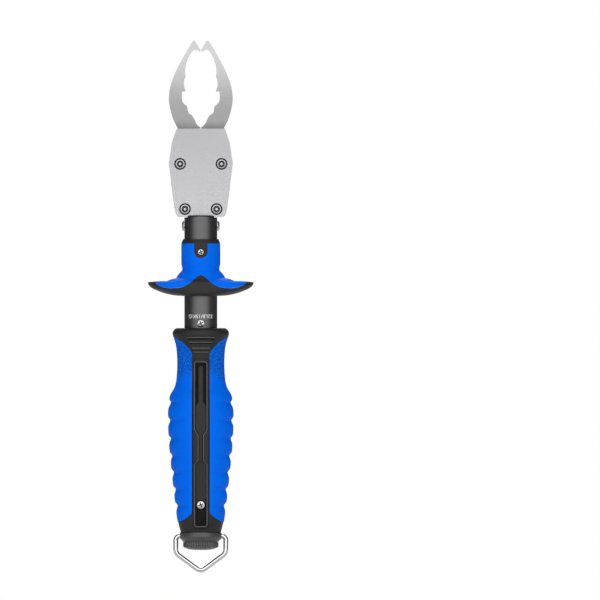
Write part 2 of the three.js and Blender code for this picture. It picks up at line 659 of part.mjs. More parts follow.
const headBolts = Object.entries(SIDE_NAMES).flatMap(([name, side]) => [
  { shaft: `pivot_barrel_${name}`, screw: `pivot_screw_${name}`, x: side * PIVOT.x, z: PIVOT.z },
  { shaft: `spacer_barrel_${name}`, screw: `plate_screw_${name}`, x: side * POST.x, z: POST.z },
]);
const seatY = PLATE.outer - SEAT.depth;
const platePair = { front: -1, back: 1 };
for (const [name, face] of Object.entries(platePair)) {
  const span = (a, b) => [Math.min(face * a, face * b), Math.max(face * a, face * b)];
  add(`${name}_plate`, cut(
    plateSlab(...span(PLATE.inner, PLATE.outer)),
    ...headBolts.map((bolt) => rodY(PIVOT.r + GAP, ...span(1, 6), bolt.x, bolt.z)),
    ...headBolts.map((bolt) => rodY(SEAT.r, ...span(seatY, 6), bolt.x, bolt.z)),
  ), PLATE_STEEL);
}

for (const bolt of headBolts) {
  const barrel = join(
    rodY(PIVOT.r, -(seatY - GAP), seatY + 0.3, bolt.x, bolt.z),
    rodY(HEAD.r, seatY + 0.1, PLATE.outer + HEAD.proud, bolt.x, bolt.z),
  );
  add(bolt.shaft, cut(
    barrel,
    rodY(1.25, -6, 0.5, bolt.x, bolt.z),
    rodY(1.45, PLATE.outer + HEAD.proud - 0.7, 8, bolt.x, bolt.z, 6),
  ), SATIN_STEEL);
  add(
    bolt.screw,
    socketScrew(bolt.x, bolt.z, HEAD.r, -PLATE.outer - HEAD.proud, -seatY - 0.1, 1, 0.2),
    SATIN_STEEL,
  );
}

// ---------------------------------------------------------------- jaws

const MEETING = 0.25; // half of the gap between the closed jaws
const TAIL_FRONT = CAM.back + 0.35; // the tails are thinned to lie behind the cam plate

// The right jaw: curved outer edge from the tip down, then the hidden heel and tail, then the mouth.
function jawShape(side) {
  const v = (x, z) => new THREE.Vector2(side * x, z);
  const shape = new THREE.Shape();
  shape.moveTo(side * 3.5, 254.9);
  shape.splineThru([v(5.2, 252.8), v(7.8, 248), v(10.4, 243.5), v(12.3, 239.7), v(13.9, 235.8),
    v(15.1, 232.2), v(15.9, 227.8), v(15.9, 223.9), v(15, 219.4), v(13.7, 215.2), v(11.6, 211)]);
  shape.lineTo(side * 12.6, 205);
  shape.lineTo(side * 13.9, 197.4);
  const heel = 3.6;
  const arcFrom = side > 0 ? 0.35 : Math.PI - 0.35;
  const arcTo = side > 0 ? -2.1 : Math.PI + 2.1;
  shape.absarc(side * PIVOT.x, PIVOT.z, heel, arcFrom, arcTo, side > 0);
  const tail = 2.3;
  const tailFrom = side > 0 ? -0.9 : Math.PI + 0.9;
  const tailTo = side > 0 ? -3.5 : Math.PI + 3.5;
  shape.absarc(side * TAIL_PIN.x, TAIL_PIN.z, tail, tailFrom, tailTo, side > 0);
  shape.lineTo(side * 4.3, 192);
  shape.lineTo(side * MEETING, 200.5);
  shape.lineTo(side * MEETING, 211.6);
  shape.splineThru([v(1.1, 211.8), v(2.3, 213.3), v(3.2, 215.4), v(4.5, 217.4), v(6, 218.4)]);
  shape.splineThru([v(6.5, 219.5), v(6.9, 221.8), v(8.3, 223)]);
  shape.splineThru([v(9.3, 224.4), v(9.5, 227), v(9.3, 229.2)]);
  shape.lineTo(side * 7.5, 229.3);
  shape.splineThru([v(8.3, 231.8), v(8.4, 234.3), v(7.6, 236.4)]);
  shape.lineTo(side * 7.6, 237.2);
  shape.splineThru([v(7.85, 238.6), v(7.5, 242), v(6.6, 245.2), v(5.2, 248), v(4, 249.5),
    v(2.7, 250), v(1.4, 249.6), v(MEETING, 248.9)]);
  shape.lineTo(side * MEETING, 250.2);
  shape.lineTo(side * 2.8, 254.4);
  return shape;
}

function jaw(side) {
  const across = (x0, x1) => [Math.min(side * x0, side * x1), Math.max(side * x0, side * x1)];
  const y0 = -JAW_HALF_THICKNESS;
  return cut(
    slab(jawShape(side), y0, JAW_HALF_THICKNESS),
    block(...across(-1, 8.25), y0 - 1, TAIL_FRONT, 180, 200.3),
    block(...across(-1, 20), y0 - 1, TAIL_FRONT, 180, 190),
    rodY(PIVOT.r + 0.15, -5, 5, side * PIVOT.x, PIVOT.z, 20),
    rodY(TAIL_PIN.r + GAP, -5, 5, side * TAIL_PIN.x, TAIL_PIN.z),
  );
}
for (const [name, side] of Object.entries(SIDE_NAMES)) {
  add(`jaw_${name}`, jaw(side), SATIN_STEEL);
  add(`jaw_pin_${name}`, rodY(TAIL_PIN.r, CAM.front, 1.6, side * TAIL_PIN.x, TAIL_PIN.z), SATIN_STEEL);
}

export default grip;
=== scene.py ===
"""Looks of a fish lip grip with a pull-out spring scale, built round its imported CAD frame.

Pieces are modelled in millimetres, front towards -Y, and scaled to metres when they are finished."""

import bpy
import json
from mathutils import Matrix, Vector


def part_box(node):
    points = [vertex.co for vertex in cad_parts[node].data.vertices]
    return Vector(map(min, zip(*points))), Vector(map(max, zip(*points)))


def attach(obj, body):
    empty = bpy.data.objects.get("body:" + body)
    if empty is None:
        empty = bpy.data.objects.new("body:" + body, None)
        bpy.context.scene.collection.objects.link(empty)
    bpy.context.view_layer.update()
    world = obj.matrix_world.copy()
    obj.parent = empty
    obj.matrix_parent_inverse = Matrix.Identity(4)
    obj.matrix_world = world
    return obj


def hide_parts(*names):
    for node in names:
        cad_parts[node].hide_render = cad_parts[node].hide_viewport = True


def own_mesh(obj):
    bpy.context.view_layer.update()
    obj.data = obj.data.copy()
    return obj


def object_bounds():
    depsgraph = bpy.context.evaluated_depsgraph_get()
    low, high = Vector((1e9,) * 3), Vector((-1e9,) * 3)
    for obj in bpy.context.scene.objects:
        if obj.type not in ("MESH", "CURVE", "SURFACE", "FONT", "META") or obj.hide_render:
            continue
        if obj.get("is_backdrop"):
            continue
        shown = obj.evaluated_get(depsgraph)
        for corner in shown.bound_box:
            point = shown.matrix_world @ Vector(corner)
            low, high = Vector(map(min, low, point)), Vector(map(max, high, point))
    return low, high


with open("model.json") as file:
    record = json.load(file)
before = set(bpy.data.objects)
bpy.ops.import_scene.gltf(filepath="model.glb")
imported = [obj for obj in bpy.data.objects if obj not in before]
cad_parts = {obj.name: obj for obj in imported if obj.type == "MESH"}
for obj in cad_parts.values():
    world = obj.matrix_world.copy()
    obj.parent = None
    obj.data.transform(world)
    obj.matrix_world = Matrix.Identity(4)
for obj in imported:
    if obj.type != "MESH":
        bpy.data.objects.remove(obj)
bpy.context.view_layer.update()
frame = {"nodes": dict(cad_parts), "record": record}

import json
import math

import bmesh
import bpy
from bpy.props import FloatProperty, FloatVectorProperty, IntProperty, PointerProperty
from mathutils import Matrix, Vector

bl_info = {
    "name": "Lip Grip",
    "version": (1, 0, 0),
    "blender": (4, 5, 0),
    "location": "3D View > Sidebar > Lip Grip",
    "description": "Builds a fish lip grip with a pull-out spring scale, piece by piece",
    "category": "Add Mesh",
}

MM = 0.001
TURN = 2 * math.pi
SIDES = (("left", -1), ("right", 1))
FACES = (("front", -1), ("back", 1))


def cad(node):
    """Lowest and highest corner of a CAD node, in millimetres."""
    low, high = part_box(node)
    return low / MM, high / MM


# ------------ sizes that come from the frame

TUBE_R = cad("scale_tube")[1].x
TUBE_BOTTOM, TUBE_TOP = cad("scale_tube")[0].z, cad("scale_tube")[1].z
TUBE_BORE = 6.7
HANDLE_TOP = cad("handle_core")[1].z
PLATE_FRONT, PLATE_INNER = -cad("front_plate")[0].y, -cad("front_plate")[1].y
JAW_HALF = cad("jaw_right")[1].y
WING_X, WING_Y = cad("trigger_core")[1].x, cad("trigger_core")[1].y
TRIGGER_BOTTOM, TRIGGER_TOP = cad("trigger_core")[0].z, cad("trigger_core")[1].z


def middle(node):
    low, high = cad(node)
    return (low + high) / 2


PIVOT = middle("pivot_barrel_right")
POST = middle("spacer_barrel_right")
TAIL_PIN = middle("jaw_pin_right")
TRIGGER_SCREW_Z = middle("trigger_screw").z
TUBE_SCREW_Z = middle("tube_screw").z
HANDLE_SCREW_Z = middle("handle_screw").z
SIDE_SCREW_Z = middle("side_screw_right").z
SCREW_SEAT = PLATE_FRONT - 0.9    # floor of a counterbore in a plate, from the middle plane
PIVOT_HOLE = 2.15
LOOP_AXIS = 7.15
STEM_WAY = 5.75                   # the collar's and the cap's bore round the handle's spigot
CAP_STEP = 7.9                    # the cap's raised ring, inside the collar's underside


# ------------ settings


def length(name, description, default, low=0.0, high=0.3):
    return FloatProperty(name=name, description=description, default=default * MM,
                         min=low, max=high, subtype="DISTANCE", unit="LENGTH")


def colour(name, description, default):
    return FloatVectorProperty(name=name, description=description, default=default,
                               size=3, min=0.0, max=1.0, subtype="COLOR")


class LipGripHandle(bpy.types.PropertyGroup):
    depth: FloatProperty(name="Depth share", description="Depth of the handle over its width",
                         default=0.9, min=0.6, max=1.0, subtype="FACTOR")
    channel: length("Channel half-width", "From the middle to the edge of a blue pad", 4.6)
    scallops: IntProperty(name="Scallops", description="Finger scallops down each pad",
                          default=7, min=0, max=7)
    scallop_depth: length("Scallop depth", "How far a scallop cuts in at the side", 1.1)


class LipGripHead(bpy.types.PropertyGroup):
    edge: length("Edge rounding", "Rounding of the plates' and jaws' edges", 0.36)
    seat: length("Screw seat radius", "Radius of the counterbore round a head screw", 2.9)
    screw: length("Screw head radius", "Radius of a head screw", 2.4)
    socket: length("Socket width", "Half of a hex socket's width across corners", 1.4)


class LipGripScale(bpy.types.PropertyGroup):
    kilogram: length("Kilogram", "Travel of the scale for one kilogram", 3.12)
    numeral: length("Numeral height", "Height of the printed numerals", 2.0)
    ink: length("Ink thickness", "Thickness of the printed ink", 0.03)


class LipGripColours(bpy.types.PropertyGroup):
    black: colour("Black plastic", "Moulded handle and trigger body", (0.021, 0.0205, 0.02))
    # Painted highlight: a lighter black for the thin raised rims and ridges, standing in for the light that
    # they catch.
    edge: colour("Worn edge", "Rubbed raised edges of the black plastic", (0.17, 0.165, 0.17))
    satin: colour("Satin black", "Smoother plastic of the collar and the end cap", (0.05, 0.05, 0.049))
    blue: colour("Blue rubber", "Soft-touch pads", (0.0, 0.165, 1.0))
    # Painted highlight on the peaks of the pads' grain.
    painted_sheen: colour("Blue sheen", "Rubbed peaks of the pads' grain", (0.1, 0.5, 1.0))
    anodised: colour("Anodised", "Black anodised tube", (0.125, 0.122, 0.125))
    jaws: colour("Jaw steel", "Satin stainless jaws", (0.5, 0.5, 0.5))
    # Painted shade: a darker copy of the jaw steel, used towards the head.
    root: colour("Jaw root", "Darker steel where the jaws enter the head", (0.3, 0.3, 0.3))
    plates: colour("Plate steel", "Bead-blasted head plates", (0.465, 0.465, 0.476))
    chrome: colour("Chrome", "Plated screws and loop", (0.68, 0.68, 0.69))
    ink: colour("Ink", "Printed scale", (0.82, 0.82, 0.84))


class LipGripStage(bpy.types.PropertyGroup):
    view_width: length("View width", "Width of the view", 300.0, high=1.0)
    aside: length("Aside", "How far the camera stands to the object's right", 49.6)
    height: length("Height", "Height of the camera", 125.0)
    brightness: FloatProperty(name="Brightness", description="Strength of the soft lights", default=1.75,
                              min=0.0, max=10.0)
    ambient: FloatProperty(name="Ambient", description="Share of light from all round", default=0.04,
                           min=0.0, max=1.0, subtype="FACTOR")
    dome_core: FloatProperty(name="Dome core", description="Angle out to which the front light is full",
                             default=math.radians(24), min=0.0, max=math.pi, subtype="ANGLE")
    dome_edge: FloatProperty(name="Dome edge", description="Angle at which the front light ends",
                             default=math.radians(74), min=0.0, max=math.pi, subtype="ANGLE")


# ------------ shader nodes


class Socket:
    """A node's output whose arithmetic adds Math nodes."""

    def __init__(self, finish, output):
        self.finish = finish
        self.output = output

    def math(self, operation, *operands):
        return self.finish.node("ShaderNodeMath", {"operation": operation}, dict(enumerate(operands)))

    def __add__(self, other):
        return self.math("ADD", self, other)

    def __sub__(self, other):
        return self.math("SUBTRACT", self, other)

    def __rsub__(self, other):
        return self.math("SUBTRACT", other, self)

    def __mul__(self, other):
        return self.math("MULTIPLY", self, other)

    __radd__ = __add__
    __rmul__ = __mul__

    def absolute(self):
        return self.math("ABSOLUTE", self)

    def clipped(self):
        return self.finish.node("ShaderNodeClamp", {}, {0: self})


class Nodes:
    """A node tree under construction."""

    def __init__(self, tree):
        self.tree = tree
        self.tree.nodes.clear()

    def node(self, kind, settings, inputs, output=0):
        made = self.tree.nodes.new(kind)
        for key, value in settings.items():
            setattr(made, key, value)
        for key, value in inputs.items():
            if isinstance(value, Socket):
                self.tree.links.new(value.output, made.inputs[key])
            else:
                made.inputs[key].default_value = value
        return Socket(self, made.outputs[output]) if made.outputs else None

    def between(self, value, low, high):
        """0 below low, 1 above high."""
        return self.node("ShaderNodeMapRange", {"interpolation_type": "SMOOTHSTEP"}, {
            0: value, 1: low, 2: high, 3: 0.0, 4: 1.0})


class Finish(Nodes):
    """A material under construction."""

    def __init__(self, name):
        self.material = bpy.data.materials.new(name)
        self.material.use_nodes = True
        super().__init__(self.material.node_tree)

    def place(self, stretch=(1, 1, 1)):
        """Object coordinates in metres, stretched along each axis."""
        coords = self.node("ShaderNodeTexCoord", {}, {}, output="Object")
        return self.node("ShaderNodeMapping", {}, {"Vector": coords, "Scale": stretch})

    def along(self, axis):
        coords = self.node("ShaderNodeTexCoord", {}, {}, output="Object")
        return self.node("ShaderNodeSeparateXYZ", {}, {0: coords}, output=axis)

    def noise(self, where, scale, detail=2.0, roughness=0.5):
        return self.node("ShaderNodeTexNoise", {}, {
            "Vector": where, "Scale": scale, "Detail": detail, "Roughness": roughness})

    def cells(self, where, scale, feature="F1"):
        return self.node("ShaderNodeTexVoronoi", {"feature": feature}, {"Vector": where, "Scale": scale})

    def mixed(self, factor, first, second):
        return self.node("ShaderNodeMix", {"data_type": "RGBA"}, {
            0: factor, 6: self.opaque(first), 7: self.opaque(second)}, output=2)

    @staticmethod
    def opaque(value):
        return value if isinstance(value, Socket) else (*value, 1.0)

    def bump(self, height, distance, strength=1.0):
        return self.node("ShaderNodeBump", {}, {"Height": height, "Distance": distance, "Strength": strength})

    def surface(self, **inputs):
        """The finished material, from Principled sockets named in lower case."""
        named = {key.replace("_", " ").title().replace("Ior", "IOR"): value for key, value in inputs.items()}
        shader = self.node("ShaderNodeBsdfPrincipled", {}, named)
        self.node("ShaderNodeOutputMaterial", {}, {"Surface": shader})
        return self.material


def shade(rgb, by):
    return tuple(min(1.0, channel * by) for channel in rgb)


def black_plastic(name):
    rgb = bpy.context.scene.lip_grip_colours.black
    made = Finish(name)
    where = made.place()
    mottle = made.noise(where, 120.0, 3.0)
    grain = made.cells(where, 2600.0)
    scuffs = made.between(made.noise(made.place((1, 1, 0.25)), 420.0, 4.0, 0.65), 0.62, 0.8)
    return made.surface(
        base_color=made.mixed(scuffs * 0.2, made.mixed(mottle, *tones("black", 0.8, 1.25)), shade(rgb, 2.0)),
        roughness=0.46 + mottle * 0.12 - scuffs * 0.05,
        specular_ior_level=0.3,
        normal=made.bump(grain + mottle * 0.5, 0.00002, 0.5),
    )


def blue_rubber(name, leather=True):
    rgb = bpy.context.scene.lip_grip_colours.blue
    made = Finish(name)
    where = made.place()
    mottle = made.noise(where, 90.0, 2.0)
    fine = made.noise(where, 3200.0, 2.0, 0.6)
    height = fine * 0.1
    tone = made.mixed(mottle, shade(rgb, 0.94), shade(rgb, 1.04))
    if leather:
        wrinkles = made.noise(made.place((1, 1, 1.8)), 1000.0, 2.0, 0.55)
        creases = 1 - made.between(made.cells(made.place((1, 1, 1.5)), 950.0, "DISTANCE_TO_EDGE"), 0.03, 0.2)
        grains = 1 - made.between(made.cells(made.place((1, 1, 1.5)), 950.0), 0.12, 0.36)
        up = made.along("Z")
        side = made.along("X").absolute()
        zone = made.between(up + side * 0.4 - wrinkles * 0.008, 0.0845, 0.0895) * (
            1 - made.between(up, 0.1045, 0.1055))
        painted_hollow_shade = made.between(wrinkles, 0.5, 0.36)
        height = height + zone * (wrinkles * 0.8 + grains * 0.6 - creases * 0.5)
        # Painted shade: the grain's hollows and creases are coloured dark navy. Painted highlight: the grain's
        # peaks are coloured a lighter blue.
        tone = made.mixed(zone * (painted_hollow_shade * 0.3 + creases * 0.3).clipped(), tone, shade(rgb, 0.22))
        tone = made.mixed(zone * grains * 0.6, tone, bpy.context.scene.lip_grip_colours.painted_sheen)
    return made.surface(
        base_color=tone,
        roughness=0.5 + mottle * 0.1,
        specular_ior_level=0.05,
        normal=made.bump(height, 0.0003, 0.9),
    )


def plain_blue_rubber(name):
    return blue_rubber(name, leather=False)


def anodised(name):
    made = Finish(name)
    turning = made.noise(made.place((0.02, 0.02, 1)), 9000.0, 2.0, 0.6)
    cloud = made.noise(made.place(), 150.0, 2.0)
    return made.surface(
        base_color=made.mixed(turning * 0.5 + cloud * 0.5, *tones("anodised", 0.85, 1.15)),
        metallic=1.0,
        roughness=0.3 + turning * 0.06 + cloud * 0.05,
        normal=made.bump(turning, 0.000008, 0.5),
    )


def jaw_steel(name):
    made = Finish(name)
    brushing = made.noise(made.place((0.04, 1, 1)), 5200.0, 3.0, 0.6)
    cloud = made.noise(made.place(), 110.0, 3.0)
    streaks = brushing * 0.5 + cloud * 0.5
    # Painted light and shade: the steel is coloured brighter towards the tips, darker towards the head and
    # darkest in a band where the jaws enter the head.
    bright = made.mixed(streaks, *tones("jaws", 0.97, 1.03))
    dark = made.mixed(streaks, *tones("root", 0.9, 1.1))
    darkest = shade(bpy.context.scene.lip_grip_colours.root, 0.55)
    up = made.along("Z") + cloud * 0.003
    painted_tip_light = made.between(up, 0.219, 0.25)
    painted_root_shade = 1 - made.between(up, 0.2115, 0.217)
    return made.surface(
        base_color=made.mixed(painted_root_shade * 0.8, made.mixed(painted_tip_light, dark, bright), darkest),
        metallic=1.0,
        roughness=0.4 + cloud * 0.05,
        normal=made.bump(brushing, 0.000004, 0.25),
    )


def plate_steel(name):
    made = Finish(name)
    where = made.place()
    blasted = made.noise(where, 4200.0, 3.0, 0.7)
    cloud = made.noise(where, 70.0, 3.0)
    # Painted shade: the plates are coloured darker towards the top and lighter towards the bottom.
    painted_top_shade = made.between(made.along("Z"), 0.162, 0.216)
    return made.surface(
        base_color=made.mixed(blasted * 0.2 + cloud * 0.25 + painted_top_shade * 0.55, *tones("plates", 1.16, 0.86)),
        metallic=1.0,
        roughness=0.42 + blasted * 0.12,
        normal=made.bump(blasted, 0.00001, 0.6),
    )


def drifting(name, noise, shades, roughness, swing, bump=(), **sockets):
    """A finish whose colour and roughness drift together over the surface."""
    made = Finish(name)
    drift = made.noise(made.place(), *noise)
    if bump:
        sockets["normal"] = made.bump(drift, *bump)
    return made.surface(base_color=made.mixed(drift, *shades), roughness=roughness + drift * swing, **sockets)


def tones(key, low, high):
    """A darker and a lighter shade of one of the panel's colours."""
    rgb = getattr(bpy.context.scene.lip_grip_colours, key)
    return shade(rgb, low), shade(rgb, high)


# Painted shadow: a near-black finish for the sheets, rings and crosses laid in recesses, grooves and gaps.
def painted_shadow_finish(name):
    return drifting(name, (500.0, 3.0), ((0.006, 0.006, 0.006), (0.014, 0.014, 0.014)), 0.8, 0.1,
                    specular_ior_level=0.15)


def satin_plastic(name):
    return drifting(name, (160.0, 3.0), tones("satin", 0.92, 1.08), 0.32, 0.05, (0.00001, 0.3),
                    specular_ior_level=0.75)


# Painted highlight: a lighter black for the thin raised rims and ridges.
def painted_highlight_plastic(name):
    return drifting(name, (700.0, 3.0, 0.6), tones("edge", 0.7, 1.2), 0.34, 0.12, specular_ior_level=0.4)


def black_nylon(name):
    return drifting(name, (260.0, 3.0), ((0.018, 0.018, 0.019), (0.032, 0.032, 0.033)), 0.38, 0.1,
                    (0.00002, 0.4))


def chrome(name):
    return drifting(name, (800.0, 3.0), tones("chrome", 0.95, 1.03), 0.1, 0.08, metallic=1.0)


def screw_steel(name):
    return drifting(name, (2600.0, 2.0), tones("jaws", 0.75, 1.0), 0.24, 0.12, metallic=1.0)


def spring_steel(name):
    return drifting(name, (1500.0, 3.0), tones("jaws", 0.6, 0.85), 0.25, 0.1, metallic=1.0)


def brass(name):
    return drifting(name, (300.0, 4.0, 0.6), ((0.55, 0.36, 0.13), (0.78, 0.57, 0.26)), 0.25, 0.15, metallic=1.0)


def scale_ink(name):
    return drifting(name, (2400.0, 3.0), tones("ink", 0.85, 1.0), 0.5, 0.15)


FINISHES = {
    "black_plastic": black_plastic,
    "black_painted_shadow": painted_shadow_finish,
    "black_plastic_satin": satin_plastic,
    "black_plastic_highlight": painted_highlight_plastic,
    "blue_rubber": blue_rubber,
    "blue_rubber_smooth": plain_blue_rubber,
    "black_anodised": anodised,
    "jaw_steel": jaw_steel,
    "plate_steel": plate_steel,
    "screw_steel": screw_steel,
    "chrome": chrome,
    "spring_steel": spring_steel,
    "brass": brass,
    "black_nylon": black_nylon,
    "scale_ink": scale_ink,
}


def finish(name):
    """The material of a finish, made the first time it is asked for."""
    title = name + "_finish"
    return bpy.data.materials.get(title) or FINISHES[name](title)


# ------------ mesh tools, in millimetres


def spun(profile, steps=128, depth=1.0):
    """A body turned about Z from (radius, height) pairs, closed through the axis or on itself."""
    bm = bmesh.new()
    verts = [bm.verts.new((r, 0, z)) for r, z in profile]
    edges = [bm.edges.new(pair) for pair in zip(verts, verts[1:])]
    if profile[0][0] > 0:
        edges.append(bm.edges.new((verts[-1], verts[0])))
    bmesh.ops.spin(bm, geom=verts + edges, axis=(0, 0, 1), cent=(0, 0, 0), angle=TURN, steps=steps,
                   use_merge=True)
    bmesh.ops.remove_doubles(bm, verts=bm.verts, dist=1e-4)
    bmesh.ops.scale(bm, verts=bm.verts, vec=(1, depth, 1))
    bmesh.ops.recalc_face_normals(bm, faces=bm.faces)
    return bm


def slab(outline, y0, y1):
    """An outline of (x, z) pairs, given thickness from y0 to y1."""
    bm = bmesh.new()
    face = bm.faces.new([bm.verts.new((x, y0, z)) for x, z in outline])
    grown = bmesh.ops.extrude_face_region(bm, geom=[face])["geom"]
    moved = [item for item in grown if isinstance(item, bmesh.types.BMVert)]
    bmesh.ops.translate(bm, verts=moved, vec=(0, y1 - y0, 0))
    bmesh.ops.recalc_face_normals(bm, faces=bm.faces)
    return bm


def rod(radius, start, end, sides=48):
    """A straight round or many-sided bar from start to end."""
    start, end = Vector(start), Vector(end)
    bm = bmesh.new()
    bmesh.ops.create_cone(bm, cap_ends=True, segments=sides, radius1=radius, radius2=radius,
                          depth=(end - start).length)
    turn = Vector((0, 0, 1)).rotation_difference(end - start).to_matrix().to_4x4()
    bmesh.ops.transform(bm, matrix=Matrix.Translation((start + end) / 2) @ turn, verts=bm.verts)
    return bm


def brick(low, high):
    bm = bmesh.new()
    bmesh.ops.create_cube(bm, size=1.0)
    low, high = Vector(low), Vector(high)
    bmesh.ops.scale(bm, verts=bm.verts, vec=high - low)
    bmesh.ops.translate(bm, verts=bm.verts, vec=(low + high) / 2)
    return bm


def skin(columns, rows, place):
    """A grid whose every point is set by place(column, row); meeting edges are welded."""
    bm = bmesh.new()
    bmesh.ops.create_grid(bm, x_segments=columns, y_segments=rows, size=1.0)
    for vert in bm.verts:
        column = round((vert.co.x + 1) / 2 * columns)
        row = round((vert.co.y + 1) / 2 * rows)
        vert.co = place(column, row)
    bmesh.ops.remove_doubles(bm, verts=bm.verts, dist=1e-4)
    bmesh.ops.dissolve_degenerate(bm, edges=bm.edges, dist=1e-5)
    bmesh.ops.recalc_face_normals(bm, faces=bm.faces)
    return bm


def object_of(bm, name):
    mesh = bpy.data.meshes.new(name)
    bm.to_mesh(mesh)
    bm.free()
    made = bpy.data.objects.new(name, mesh)
    bpy.context.scene.collection.objects.link(made)
    return made


def combined(bm, tools, operation):
    """A body joined with, cut by or cut down to other bodies."""
    body = object_of(bm, "body")
    others = [object_of(tool, "tool") for tool in tools]
    for other in others:
        step = body.modifiers.new("step", "BOOLEAN")
        step.operation = operation
        step.solver = "EXACT"
        step.object = other
    graph = bpy.context.evaluated_depsgraph_get()
    mesh = bpy.data.meshes.new_from_object(body.evaluated_get(graph))
    result = bmesh.new()
    result.from_mesh(mesh)
    bpy.data.meshes.remove(mesh)
    for used in [body, *others]:
        old = used.data
        bpy.data.objects.remove(used)
        bpy.data.meshes.remove(old)
    bmesh.ops.dissolve_degenerate(result, edges=result.edges, dist=1e-5)
    return result


def carve(bm, *tools):
    return combined(bm, tools, "DIFFERENCE")


def unite(bm, *tools):
    return combined(bm, tools, "UNION")


def soften(bm, width, segments=3, angle=35):
    """Rounds every edge sharper than the angle."""
    sharp = [edge for edge in bm.edges
             if edge.is_manifold and edge.calc_face_angle(0) > math.radians(angle)]
    bmesh.ops.bevel(bm, geom=sharp, offset=width, segments=segments, affect="EDGES", profile=0.5,
                    material=-1, clamp_overlap=True)
    return bm


def piece(name, bm, coat, body, replaces=(), crease=32):
    """Turns a body in millimetres into a finished piece that rides on a CAD body."""
    bmesh.ops.scale(bm, verts=bm.verts, vec=(MM, MM, MM))
    made = object_of(bm, name)
    made.data.materials.append(finish(coat))
    made.data.shade_smooth()
    made.data.set_sharp_from_angle(angle=math.radians(crease))
    evener = made.modifiers.new("even_shading", "WEIGHTED_NORMAL")
    evener.weight = 100
    evener.keep_sharp = True
    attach(made, body)
    if replaces:
        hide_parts(*replaces)
    return made


def smooth_line(points, per_span=6):
    """A curve through the points, each span cut into equal steps."""
    points = [Vector((*p, 0)) if len(p) == 2 else Vector(p) for p in points]
    ends = [points[0] * 2 - points[1], *points, points[-1] * 2 - points[-2]]
    line = []
    for a, b, c, d in zip(ends, ends[1:], ends[2:], ends[3:]):
        for step in range(per_span):
            t = step / per_span
            line.append(0.5 * (2 * b + (c - a) * t + (2 * a - 5 * b + 4 * c - d) * t ** 2
                               + (3 * b - a - 3 * c + d) * t ** 3))
    line.append(points[-1])
    return [(p.x, p.y) for p in line]


def arc(cx, cz, radius, start, end, steps=8):
    """Points round part of a circle; angles in degrees."""
    return [(cx + radius * math.cos(math.radians(start + (end - start) * i / steps)),
             cz + radius * math.sin(math.radians(start + (end - start) * i / steps)))
            for i in range(steps + 1)]


def mirrored(points):
    return [(-x, z) for x, z in reversed(points)]


def rounded_box(half, low, high, radius, steps=8):
    inner = half - radius
    corners = ((inner, low + radius, -90), (inner, high - radius, 0),
               (-inner, high - radius, 90), (-inner, low + radius, 180))
    return [point for x, z, start in corners for point in arc(x, z, radius, start, start + 90, steps)]


def reading(table, at):
    """Straight-line reading of a table of (key, value) pairs with rising keys."""
    if at <= table[0][0]:
        return table[0][1]
    for (x0, y0), (x1, y1) in zip(table, table[1:]):
        if at <= x1:
            return y0 + (y1 - y0) * (at - x0) / (x1 - x0)
    return table[-1][1]


# ------------ the handle's surfaces

BODY_CURVE = smooth_line([
    (8.9, 10.12), (9.7, 10.25), (10.6, 10.5), (12, 10.85), (14.6, 11.45), (18, 11.6), (22.5, 11.9),
    (30.8, 12.8), (39.2, 13.65), (47.4, 14.45), (55.7, 15.05), (64.5, 15.2), (72, 14.95), (77, 14.05),
    (81.5, 12.6), (86, 11.6), (91, 11.3),
    (97, 11.4), (102, 12.1), (104.5, 12.85), (106.5, 13.75)])
PAD_CURVE = smooth_line([
    (12, 10.9), (15, 11.75), (22.5, 12.75), (31, 13.75), (39.5, 14.65), (48, 15.5), (56.5, 16.15), (65, 16.42),
    (71, 16.3), (75.5, 15.85), (78, 15.1), (80, 13.9), (82, 12.95), (84.5, 12.35), (88.5, 11.95), (93, 11.8),
    (98, 11.95), (102, 12.4), (104, 12.9), (106.5, 13.8)])
VALLEYS = (73.7, 64.9, 55.8, 47.2, 38.9, 30.4, 22.3)


def eased(share):
    """Smooth step from 0 to 1."""
    share = min(1.0, max(0.0, share))
    return share * share * (3 - 2 * share)


def scallop(z):
    """Depth of the finger scallops at a height: each valley is steeper above than below."""
    sizes = bpy.context.scene.lip_grip_handle
    depth = 0.0
    for valley in VALLEYS[:sizes.scallops]:
        off = z - valley
        width = 1.2 if off > 0 else 1.95
        depth = max(depth, math.exp(-(off / width) ** 2))
    return sizes.scallop_depth / MM * depth


BORDER = [(z, x) for x, z in smooth_line([(11.6, 13.75), (10.7, 14.1), (8.8, 15.0), (7.35, 16.0), (5.9, 17.2),
                                          (4.85, 18.4), (4.6, 19.4)], 6)]
BORDER += [(z, x) for x, z in smooth_line([(4.6, 97.8), (4.9, 99.1), (6.4, 101.1), (9.1, 103.9), (11.4, 105.3),
                                           (13.9, 106.3)], 6)]


def pad_border(z):
    """Distance of a pad's edge from the middle, in front view."""
    if BORDER[0][0] < z < 19.4 or z > 97.8:
        return reading(BORDER, z)
    return bpy.context.scene.lip_grip_handle.channel / MM if z > 19 else 20.0


def body_surface(x, z):
    """Distance of the black body's front from the middle."""
    half = reading(BODY_CURVE, z)
    depth = bpy.context.scene.lip_grip_handle.depth
    return depth * half * math.sqrt(max(0.0, 1 - (x / half) ** 2))


# ------------ operators


class Build:
    bl_options = {"REGISTER", "UNDO"}

    def execute(self, context):
        self.build(context.scene)
        return {"FINISHED"}


